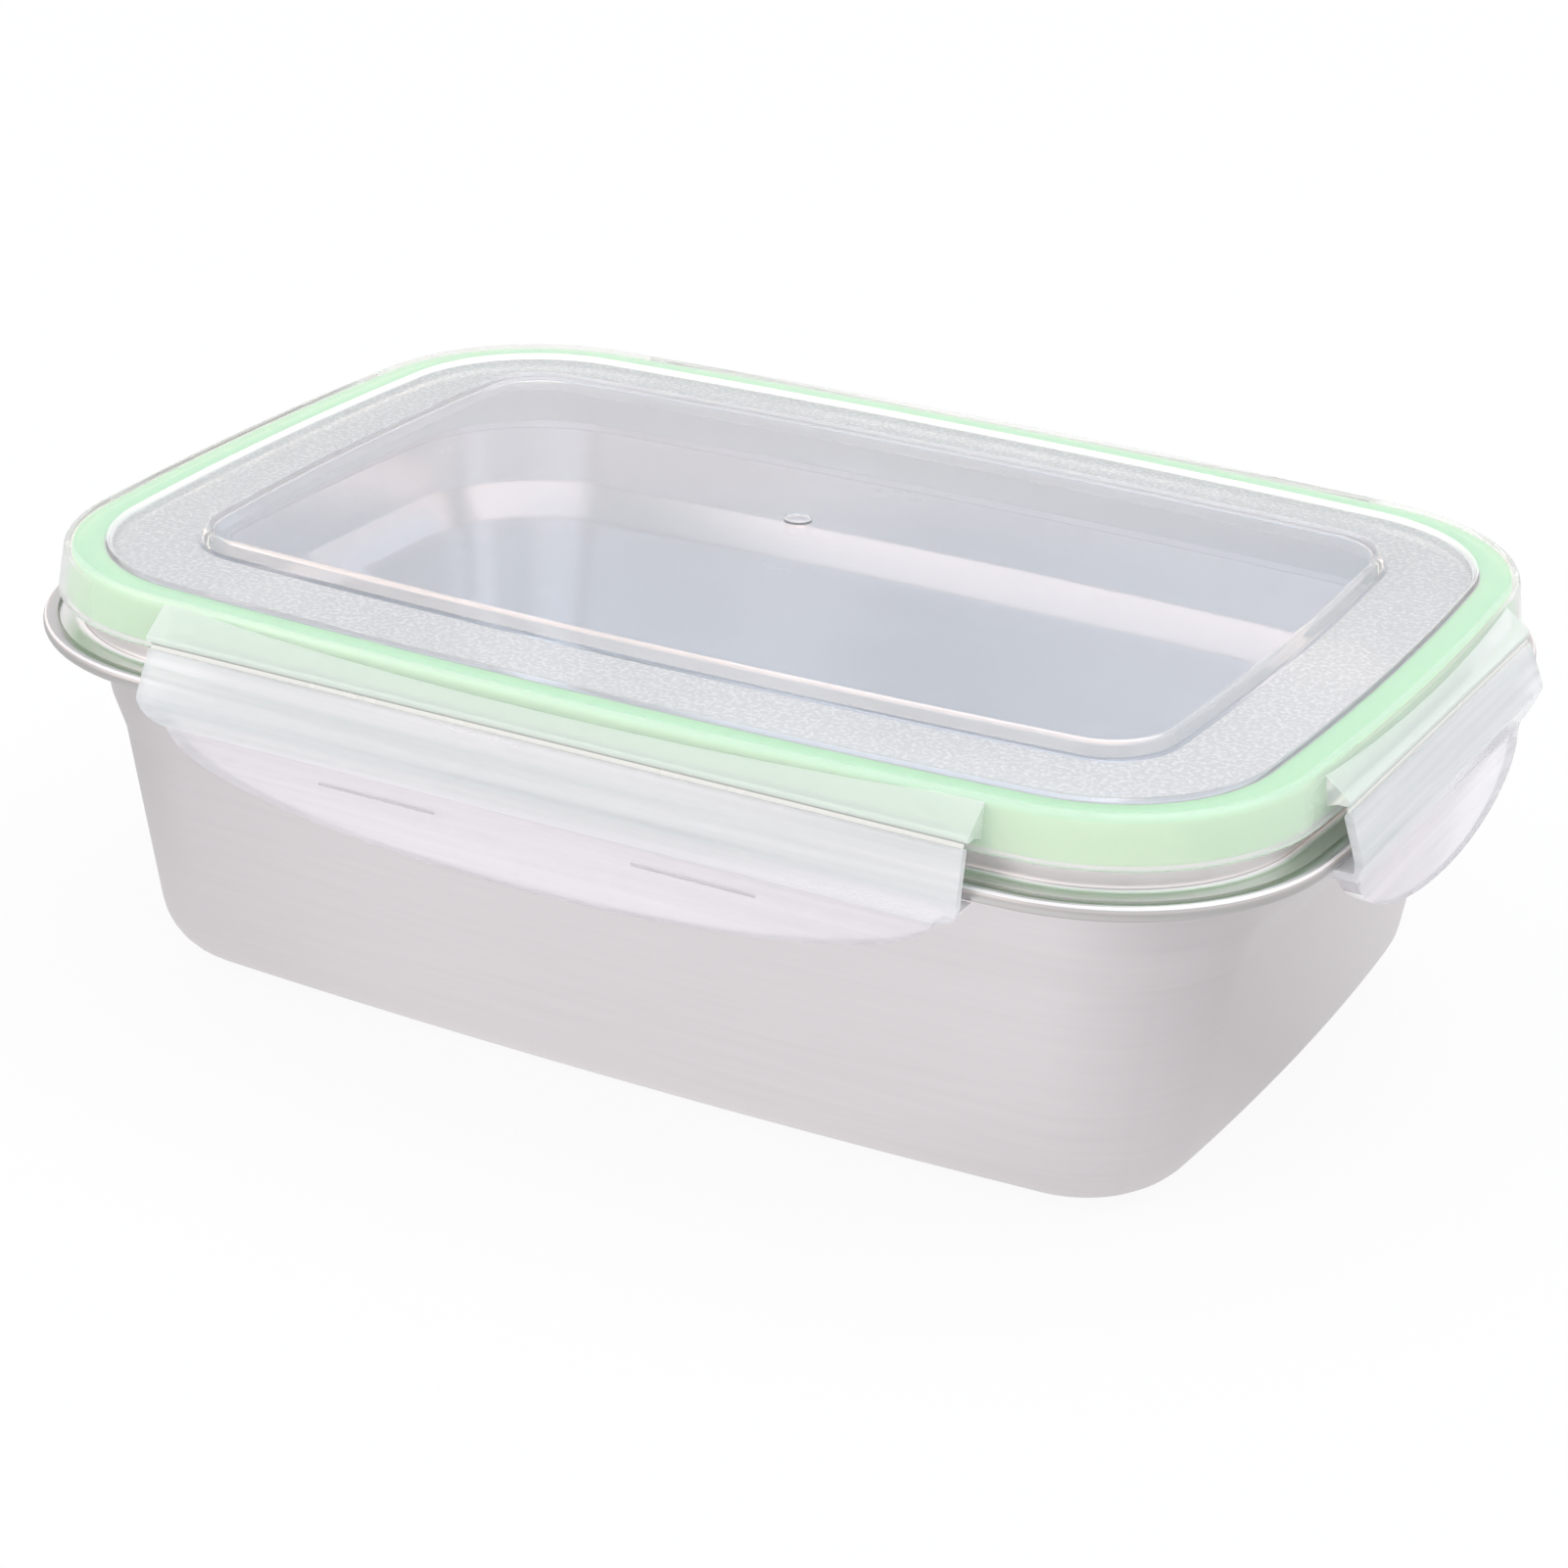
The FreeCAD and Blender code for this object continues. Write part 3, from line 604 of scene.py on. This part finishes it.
def noise_of(tree, stretch, scale, detail=3.0):
    """A noise pattern in Object coordinates, stretched by a Mapping node."""
    place = tree.nodes.new("ShaderNodeTexCoord")
    mapping = tree.nodes.new("ShaderNodeMapping")
    mapping.inputs["Scale"].default_value = stretch
    noise = tree.nodes.new("ShaderNodeTexNoise")
    noise.inputs["Scale"].default_value = scale
    noise.inputs["Detail"].default_value = detail
    tree.links.new(place.outputs["Object"], mapping.inputs["Vector"])
    tree.links.new(mapping.outputs["Vector"], noise.inputs["Vector"])
    return noise.outputs["Fac"]


def map_range(tree, value, low, high, source=(0.0, 1.0)):
    """The value, moved from the source range into the range low to high."""
    ranges = tree.nodes.new("ShaderNodeMapRange")
    ranges.inputs["From Min"].default_value = source[0]
    ranges.inputs["From Max"].default_value = source[1]
    ranges.inputs["To Min"].default_value = low
    ranges.inputs["To Max"].default_value = high
    tree.links.new(value, ranges.inputs["Value"])
    return ranges.outputs["Result"]


def colour_between(tree, value, first, second):
    """A colour that runs from first to second as the value goes from 0 to 1."""
    ramp = tree.nodes.new("ShaderNodeValToRGB")
    ramp.color_ramp.elements[0].color = (*first, 1)
    ramp.color_ramp.elements[1].color = (*second, 1)
    tree.links.new(value, ramp.inputs["Fac"])
    return ramp.outputs["Color"]


def add_bump(tree, shader, height, strength, distance):
    """Fine relief from a height value."""
    bump = tree.nodes.new("ShaderNodeBump")
    bump.inputs["Strength"].default_value = strength
    bump.inputs["Distance"].default_value = distance
    tree.links.new(height, bump.inputs["Height"])
    tree.links.new(bump.outputs["Normal"], shader.inputs["Normal"])


def dress(piece, finishes):
    """Gives a piece a list of finishes. Faces start with the first."""
    piece.data.materials.clear()
    for finish in finishes:
        piece.data.materials.append(finish)


# %% [markdown]
# ### Steel
# Outside, the tub has a satin finish with faint rubbing marks that run round it.
# The marks are a noise that is squeezed along Z, so that it draws out into level streaks.
# They change the colour and the gloss only a little. A bump would turn them into scratches.

# %% Satin finish
def steel_finish(name, stretch, dark, light, gloss):
    """A metal with streaks between two colours and two roughness values."""
    material, tree, shader = new_finish(name, light, Metallic=1.0)
    marks = noise_of(tree, stretch, scale=1.0)
    tree.links.new(colour_between(tree, marks, dark, light), shader.inputs["Base Color"])
    tree.links.new(map_range(tree, marks, *gloss), shader.inputs["Roughness"])
    return material


level_streaks = (40, 40, 900)
satin_steel = steel_finish(
    "satin_steel", level_streaks,
    dark=(0.655, 0.625, 0.64), light=(0.715, 0.68, 0.695), gloss=(0.27, 0.4))
print("finish:", satin_steel.name)

# %% [markdown]
# Inside, the steel is a little glossier and painted brighter: painted light for what the lid keeps out.
# The seat under the lid, from the bead to the shelf, is soft, and painted pale in the rim's shade:
# painted light.
# The lip is painted a shade darker, against the bright highlight that it mirrors: painted shade.
# The faces of the tub could be picked by hand, but a rule finds them again after a change of size.
# It tells them apart by their height and by the way they face.

# %% Inside, seat and lip finishes
soft_streaks = (30, 30, 200)
short_streaks = (200, 200, 400)
# painted light: the inside is a brighter copy of the steel, for the light that the lid keeps out
inside_steel_painted_light = steel_finish(
    "inside_steel_painted_light", soft_streaks,
    dark=(0.90, 0.90, 0.905), light=(0.95, 0.95, 0.95), gloss=(0.2, 0.3))
# painted light: the seat is a paler copy of the steel where the rim shades it
seat_steel_painted_light = steel_finish(
    "seat_steel_painted_light", short_streaks,
    dark=(0.92, 0.89, 0.895), light=(0.97, 0.945, 0.95), gloss=(0.35, 0.5))
# painted shade: a darker copy of the steel on the lip, against its bright mirrored highlight
lip_steel_painted_shade = steel_finish(
    "lip_steel_painted_shade", short_streaks,
    dark=(0.54, 0.53, 0.525), light=(0.59, 0.58, 0.575), gloss=(0.28, 0.4))
print("finishes:", inside_steel_painted_light.name, seat_steel_painted_light.name, lip_steel_painted_shade.name)

# %% Finishes on the tub
INSIDE, SEAT, LIP = 1, 2, 3
MARGIN = 0.2
HALF_UP = 0.5


def outward(face):
    """Above 0 for a face that looks away from the middle of the box, below 0 for one that looks to it."""
    return face.normal.x * face.center.x + face.normal.y * face.center.y


dress(tub, (satin_steel, inside_steel_painted_light, seat_steel_painted_light, lip_steel_painted_shade))
for face in tub.data.polygons:
    height = face.center.z / MM
    looks_up = face.normal.z > HALF_UP
    if height < NECK_HEIGHT and (looks_up or outward(face) < 0):
        face.material_index = INSIDE
    elif height > LIP_TOP + MARGIN / 2 or (looks_up and height < LIP_TOP - MARGIN):
        face.material_index = SEAT
    elif height > NECK_HEIGHT + MARGIN:
        face.material_index = LIP
print("tub finishes:", [finish.name for finish in tub.data.materials])

# %% [markdown]
# ### Clear plastic
# The lid is clear, but a thin moulding always has some haze.
# There is more of it where the light runs along a wall instead of straight through.
# Full glass would be too dark at its edges. So each part of the lid lets most light through,
# and scatters the rest as a milky share: little on the panel, more on the rim wall, blocks and skirt.

# %% Clear finishes
def clear_finish(name, colour, transmission, rough):
    """A clear plastic with some haze: the lower the transmission, the milkier it looks."""
    material, tree, shader = new_finish(
        name, colour, IOR=1.1, Transmission_Weight=transmission, Coat_Weight=1.0)
    ripple = noise_of(tree, EVEN, scale=60.0, detail=1.0)
    tree.links.new(map_range(tree, ripple, rough, 2 * rough), shader.inputs["Roughness"])
    return material


rim_clear = clear_finish("rim_plastic", (0.97, 0.98, 0.985), transmission=0.9, rough=0.03)
# painted light: the panel's faint blue tint stands for the cool light that falls into the tub
panel_clear = clear_finish("panel_plastic", (0.94, 0.96, 1.0), transmission=0.92, rough=0.015)
wall_clear = clear_finish("wall_plastic", (0.97, 0.985, 0.98), transmission=0.72, rough=0.03)
# part haze, part painted highlight: the inner rise of the step is milkiest, so that it reads as a white
# line
edge_haze_and_highlight = clear_finish("edge_plastic_with_painted_highlight", (0.97, 0.98, 0.985), transmission=0.3, rough=0.03)
skirt_clear = clear_finish("skirt_plastic", (0.95, 0.99, 0.97), transmission=0.25, rough=0.05)
block_clear = clear_finish("block_plastic", (0.95, 1.0, 0.96), transmission=0.45, rough=0.03)
LID_FINISHES = [rim_clear, panel_clear, wall_clear, edge_haze_and_highlight, skirt_clear, block_clear]
print("clear finishes:", [finish.name for finish in LID_FINISHES])

# %% [markdown]
# The band round the panel is etched in the mould and looks like fine frost.
# A bump would make it glitter, so the frost is in the colour and in the roughness.
# Its grain is a dense noise of about a millimetre, with pale specks on a greyer ground.

# %% Frosted finish
FROST_GROUND, FROST_SPECK = (0.80, 0.80, 0.80), (1.0, 1.0, 0.99)
SPECK_SPREAD = (0.45, 0.68)
FROST_GLOSS = (0.25, 0.5)
frosted, tree, shader = new_finish("frosted_plastic", (0.9, 0.9, 0.9), IOR=1.1, Transmission_Weight=0.42)
grain = noise_of(tree, EVEN, scale=1250.0, detail=1.0)
specks = map_range(tree, grain, 0.0, 1.0, SPECK_SPREAD)
frost = colour_between(tree, specks, FROST_GROUND, FROST_SPECK)
tree.links.new(frost, shader.inputs["Base Color"])
tree.links.new(map_range(tree, grain, *FROST_GLOSS), shader.inputs["Roughness"])
LID_FINISHES.append(frosted)
print("finish:", frosted.name)

# %% [markdown]
# The faces of the lid are told apart by their height and by how far they lie inside the lid edge.
# That distance comes from the same arcs that the lid was spun around.

# %% Distance inside the lid edge
def inset_of(point):
    """How far inside the lid edge a point lies, seen from above, in millimetres."""
    x, y = abs(point.x) / MM, abs(point.y) / MM
    if x > corner.x and y > corner.y:
        return CORNER_RADIUS - math.hypot(x - corner.x, y - corner.y)
    from_short = SHORT_RADIUS - math.hypot(x - short_middle.x, y)
    from_long = LONG_RADIUS - math.hypot(x, y - long_middle.y)
    return min(from_short, from_long)


print("middle of the lid is", round(inset_of(Vector((0, 0, 0))), 1), "mm inside its edge")

# %% Rules for the lid
# START and END are insets, LEVEL is a height, and UP and FLAT say how far a face has to look up
FLAT = 0.97
PANEL_START, PANEL_LEVEL = PANEL_FOOT - 0.7, BAND_TOP + 0.02
SLOPE_LEVEL = BAND_TOP + 0.6
STEP_END, STEP_LEVEL = BAND_EDGE + 0.4, 75.5
SKIRT_END, SKIRT_LEVEL = GROOVE_INSIDE + 2.0, BAND_TOP - LID_WALL - MARGIN
ROUND_START, ROUND_END, ROUND_LEVEL, ROUND_UP = 0.8, 3.2, 75.8, 0.3
BLOCK_START, BLOCK_END, BLOCK_LEVEL, BLOCK_UP = -0.1, 2.3, 76.6, 0.4


def panel_finish(face, height, is_level):
    """The finish of a face of the raised panel: clear on top, hazier on its slope."""
    if is_level or height <= SLOPE_LEVEL:
        return panel_clear
    return wall_clear if face.normal.z > 0 else rim_clear


def rim_finish(face, inset, height):
    """The finish of a face of the rim, from its blocks to the seal groove."""
    on_block = inset < BLOCK_END and height < BLOCK_LEVEL and face.normal.z > BLOCK_UP
    on_round = inset < ROUND_END and height > ROUND_LEVEL and face.normal.z > ROUND_UP
    if inset < BLOCK_START or (on_block and not (inset > ROUND_START and height > ROUND_LEVEL)):
        return block_clear
    return wall_clear if inset < GROOVE_OUTSIDE or on_round else rim_clear


def lid_finish(face):
    """The finish of a face of the lid."""
    inset = inset_of(face.center)
    height = face.center.z / MM
    is_level = abs(face.normal.z) > FLAT
    if inset > PANEL_START and height > PANEL_LEVEL:
        return panel_finish(face, height, is_level)
    if inset > BAND_EDGE - MARGIN and is_level and face.normal.z > 0:
        return frosted
    beside_groove = inset > GROOVE_INSIDE - MARGIN
    if beside_groove and inset < STEP_END and height > STEP_LEVEL and not is_level:
        return edge_haze_and_highlight
    if beside_groove and inset < SKIRT_END and height < SKIRT_LEVEL:
        return skirt_clear
    return rim_finish(face, inset, height)


# %% Finishes on the lid
dress(lid, LID_FINISHES)
for face in lid.data.polygons:
    face.material_index = LID_FINISHES.index(lid_finish(face))
print("lid finishes:", [finish.name for finish in lid.data.materials])

# %% [markdown]
# ### Milky plastic
# The latches are the same plastic as the lid, but thicker, so they look milky.
# A volume would scatter light as the real plastic does, but it is slow and does not survive an export.
# So the milk is a share of plain scattering: most in the thick strip, less in the thin tab.
# The plastic flowed along the latch in the mould, which left long level streaks in its haze.
# The streaks also stand in for light that runs inside the plastic: partly painted light.
# Light that runs down inside the tab comes out at its lower edge, which is painted the whitest: a painted
# glow.

# %% Milky finishes
LEVEL_FLOW = (8, 8, 420)
FLOW_SPREAD = (0.2, 0.8)
HAZE_SPREAD = 0.1
MILKY_GLOSS = (0.12, 0.3)


def milky_finish(name, transmission, dark, light):
    """A cloudy plastic with level streaks, the milkier the lower its transmission."""
    material, tree, shader = new_finish(
        name, light, IOR=1.1, Transmission_Weight=transmission, Coat_Weight=0.6)
    flow_and_light = noise_of(tree, LEVEL_FLOW, scale=1.0, detail=2.0)
    streaks = map_range(tree, flow_and_light, 0.0, 1.0, FLOW_SPREAD)
    tree.links.new(colour_between(tree, streaks, dark, light), shader.inputs["Base Color"])
    haze = map_range(tree, streaks, transmission + HAZE_SPREAD, transmission - HAZE_SPREAD)
    tree.links.new(haze, shader.inputs["Transmission Weight"])
    tree.links.new(map_range(tree, streaks, *MILKY_GLOSS), shader.inputs["Roughness"])
    return material


# painted reflections: the teal of the strip stands for the green rim behind it, the lavender of the tab
# for the steel
milky_tab = milky_finish(
    "milky_tab", transmission=0.6, dark=(0.90, 0.905, 0.945), light=(0.985, 0.965, 0.99))
milky_strip = milky_finish(
    "milky_strip", transmission=0.46, dark=(0.88, 0.935, 0.935), light=(0.97, 0.955, 0.98))
# painted glow: the lower edge of the tab is a whiter, less clear copy of the milky plastic
milky_edge_painted_glow = milky_finish(
    "milky_edge_painted_glow", transmission=0.15, dark=(0.98, 0.98, 0.98), light=(1.0, 1.0, 1.0))
print("milky finishes:", milky_tab.name, milky_strip.name, milky_edge_painted_glow.name)

# %% Finishes on the latches
STRIP, TAB_EDGE = 1, 2
EDGE_LEVEL = STRIP_BOTTOM - 2.5
EDGE_DOWN = -0.2
for latch in LATCHES.values():
    dress(latch, (milky_tab, milky_strip, milky_edge_painted_glow))
    for face in latch.data.polygons:
        if face.center.z > STRIP_BOTTOM * MM:
            face.material_index = STRIP
        elif face.normal.z < EDGE_DOWN and outward(face) > 0 and face.center.z < EDGE_LEVEL * MM:
            face.material_index = TAB_EDGE
print("finishes on", len(LATCHES), "latches")

# %% [markdown]
# The film lies back in a fold. Its head is in the shade of the block, painted into its colour as a dark
# line.
# The rest runs out onto the latch and is cream. Two materials would meet in a hard line,
# so one colour runs into the other at the height of the fold.

# %% Film finish
FOLD_START, FOLD_END = 71.3, 71.45
# painted shade: the head of the film is painted dark where the block shades it
FILM_CREAM, FILM_PAINTED_SHADE = (0.95, 0.94, 0.89), (0.42, 0.43, 0.40)
FILM_GLOSS = (0.15, 0.35)
film_skin, tree, shader = new_finish("film_plastic", (0.9, 0.9, 0.87), IOR=1.15, Transmission_Weight=0.1)
place = tree.nodes.new("ShaderNodeTexCoord")
apart = tree.nodes.new("ShaderNodeSeparateXYZ")
tree.links.new(place.outputs["Object"], apart.inputs[0])
fold = map_range(tree, apart.outputs["Z"], 0.0, 1.0, (FOLD_START * MM, FOLD_END * MM))
cream_and_painted_shade = colour_between(tree, fold, FILM_CREAM, FILM_PAINTED_SHADE)
tree.links.new(cream_and_painted_shade, shader.inputs["Base Color"])
gloss = map_range(tree, noise_of(tree, EVEN, scale=150.0), *FILM_GLOSS)
tree.links.new(gloss, shader.inputs["Roughness"])
for film, _ in FILMS.values():
    dress(film, [film_skin])
print("finish:", film_skin.name, "on", len(FILMS), "films")

# %% [markdown]
# ### Silicone
# The seal is matt silicone in a fresh green. The haze of the rim in front of it makes it look pale.
# Silicone has a dry skin, so its roughness is high and a fine noise gives it a faint relief.

# %% Silicone finish
DEEP_GREEN, PALE_GREEN = (0.47, 0.96, 0.45), (0.51, 0.98, 0.49)
SKIN_GLOSS = (0.4, 0.65)
silicone, tree, shader = new_finish("green_silicone", (0.47, 0.95, 0.45))
skin = noise_of(tree, EVEN, scale=300.0)
green = colour_between(tree, skin, DEEP_GREEN, PALE_GREEN)
tree.links.new(green, shader.inputs["Base Color"])
tree.links.new(map_range(tree, skin, *SKIN_GLOSS), shader.inputs["Roughness"])
add_bump(tree, shader, skin, strength=0.1, distance=0.1 * MM)
dress(seal, [silicone])
print("finish:", silicone.name)

# %% [markdown]
# ## Floor
# The box stands on a plain pale floor. It is white to the camera, in mirrors and through plastic,
# but still takes a little of the shadow of the box, so it is part paint and part glow.
# In the steel, the floor's glow is painted brighter near the long sides than near the short sides:
# painted light.
# That painted light is what makes the end of the box a shade darker than its front.

# %% Math helper
def calculate(tree, operation, first, second):
    """A Math node on two values, each a socket or a number."""
    node = tree.nodes.new("ShaderNodeMath")
    node.operation = operation
    for number, value in enumerate((first, second)):
        if isinstance(value, float):
            node.inputs[number].default_value = value
        else:
            tree.links.new(value, node.inputs[number])
    return node.outputs[0]


# %% Floor
FLOOR_SIZE = 6.0
FLOOR_WHITE = (0.9, 0.9, 0.9, 1)
bpy.ops.object.select_all(action="DESELECT")
bpy.ops.mesh.primitive_plane_add(size=FLOOR_SIZE, location=(0, 0, 0))
floor = bpy.context.object
floor.name = "floor"
floor_paint = bpy.data.materials.new("floor_white")
floor_paint.use_nodes = True
tree = floor_paint.node_tree
tree.nodes.clear()
paint = tree.nodes.new("ShaderNodeBsdfDiffuse")
paint.inputs["Color"].default_value = FLOOR_WHITE
glow = tree.nodes.new("ShaderNodeEmission")
blend = tree.nodes.new("ShaderNodeMixShader")
floor_output = tree.nodes.new("ShaderNodeOutputMaterial")
tree.links.new(paint.outputs[0], blend.inputs[1])
tree.links.new(glow.outputs[0], blend.inputs[2])
tree.links.new(blend.outputs[0], floor_output.inputs["Surface"])
dress(floor, [floor_paint])
print("floor:", floor.name, "with", floor_paint.name)

# %% Glow of the floor
GLOW_SEEN, GLOW_MIRRORED = 0.9, 0.8
path = tree.nodes.new("ShaderNodeLightPath")
seen = calculate(tree, "MAXIMUM", path.outputs["Is Camera Ray"], path.outputs["Is Transmission Ray"])
mirrored = path.outputs["Is Glossy Ray"]
white_share = calculate(tree, "MULTIPLY", seen, GLOW_SEEN)
mirror_share = calculate(tree, "MULTIPLY", mirrored, GLOW_MIRRORED)
tree.links.new(calculate(tree, "MAXIMUM", white_share, mirror_share), blend.inputs["Fac"])
print("floor glow, seen and mirrored:", GLOW_SEEN, GLOW_MIRRORED)

# %% Painted pools of light on the floor
# painted light in mirrors: the distance from the spot takes the glow from a little above white to well
# below it
PAINTED_POOL_CENTRE = (0, 0.15, 0)
SPOT_REACH = (0.09, 0.2)
SPOT_SHADE, FAR_SHADE = -0.12, 0.27
place = tree.nodes.new("ShaderNodeTexCoord")
quarter = tree.nodes.new("ShaderNodeVectorMath")
quarter.operation = "ABSOLUTE"
away = tree.nodes.new("ShaderNodeVectorMath")
away.operation = "DISTANCE"
away.inputs[1].default_value = PAINTED_POOL_CENTRE
tree.links.new(place.outputs["Object"], quarter.inputs[0])
tree.links.new(quarter.outputs["Vector"], away.inputs[0])
shade = map_range(tree, away.outputs["Value"], SPOT_SHADE, FAR_SHADE, SPOT_REACH)
mirror_shade = calculate(tree, "MULTIPLY", mirrored, shade)
tree.links.new(calculate(tree, "SUBTRACT", 1.0, mirror_shade), glow.inputs["Strength"])
print("floor:", len(tree.nodes), "nodes")

# %% [markdown]
# ## World and lamps
# The studio is a white room with soft light from all sides, which is what pale plastic needs.
# Low down, its walls are warmer and brighter. Through the lid, the step inside the tub mirrors that
# part of the room as a pale band, and the steel above and below it mirrors a cool ceiling.
# Matt surfaces are lit by the plain white of the room alone.
# One large warm lamp in front and one cool lamp above give the edges a direction.

# %% World
ROOM_LOW = (2.7, 2.02, 1.75, 1)
ROOM_WHITE = (0.96, 0.975, 1.0, 1)
ROOM_CEILING = (0.98, 1.04, 1.14, 1)
# how far up a ray points where the low part of the room starts to fade, and where it ends
LOW_TO_HIGH = (0.2, 0.35)
# the share of the low part that is seen in a mirror with no plastic in front of it
LOW_MIRRORED = 0.12
world = bpy.data.worlds.new("studio")
bpy.context.scene.world = world
world.use_nodes = True
tree = world.node_tree
direction = tree.nodes.new("ShaderNodeTexCoord")
apart = tree.nodes.new("ShaderNodeSeparateXYZ")
tree.links.new(direction.outputs["Generated"], apart.inputs[0])
height = map_range(tree, apart.outputs["Z"], 0.0, 1.0, LOW_TO_HIGH)
path = tree.nodes.new("ShaderNodeLightPath")
mirror_share = calculate(tree, "MULTIPLY", path.outputs["Is Glossy Ray"], LOW_MIRRORED)
seen = calculate(tree, "MAXIMUM", mirror_share, path.outputs["Is Transmission Ray"])
plain = calculate(tree, "SUBTRACT", 1.0, seen)
ceiling = tree.nodes.new("ShaderNodeMix")
ceiling.data_type = "RGBA"
ceiling.inputs["A"].default_value = ROOM_WHITE
ceiling.inputs["B"].default_value = ROOM_CEILING
tree.links.new(path.outputs["Is Transmission Ray"], ceiling.inputs["Factor"])
room = tree.nodes.new("ShaderNodeMix")
room.data_type = "RGBA"
room.inputs["A"].default_value = ROOM_LOW
tree.links.new(ceiling.outputs["Result"], room.inputs["B"])
tree.links.new(calculate(tree, "MAXIMUM", height, plain), room.inputs["Factor"])
tree.links.new(room.outputs["Result"], tree.nodes["Background"].inputs["Color"])
print("world:", world.name)

# %% Lamps
LOOK_AT = Vector((0, 0, 0.05))


def soft_lamp(name, place, size, energy, colour):
    """A square area lamp that looks at the box."""
    bpy.ops.object.light_add(type="AREA", location=place)
    lamp = bpy.context.object
    lamp.name = name
    lamp.data.size = size
    lamp.data.energy = energy
    lamp.data.color = colour
    lamp.rotation_euler = (LOOK_AT - lamp.location).to_track_quat("-Z", "Y").to_euler()
    print(name, energy, "W")


soft_lamp("key_lamp", (-0.75, -1.25, 0.6), size=1.2, energy=3, colour=(1.0, 0.88, 0.82))
soft_lamp("top_lamp", (0.5, 0.3, 1.4), size=1.15, energy=4, colour=(0.95, 0.98, 1.0))

# %% [markdown]
# ## Finish
# The view stays plain, so that colours come out as they are written.

# %% Finish
bpy.context.scene.view_settings.view_transform = "Standard"
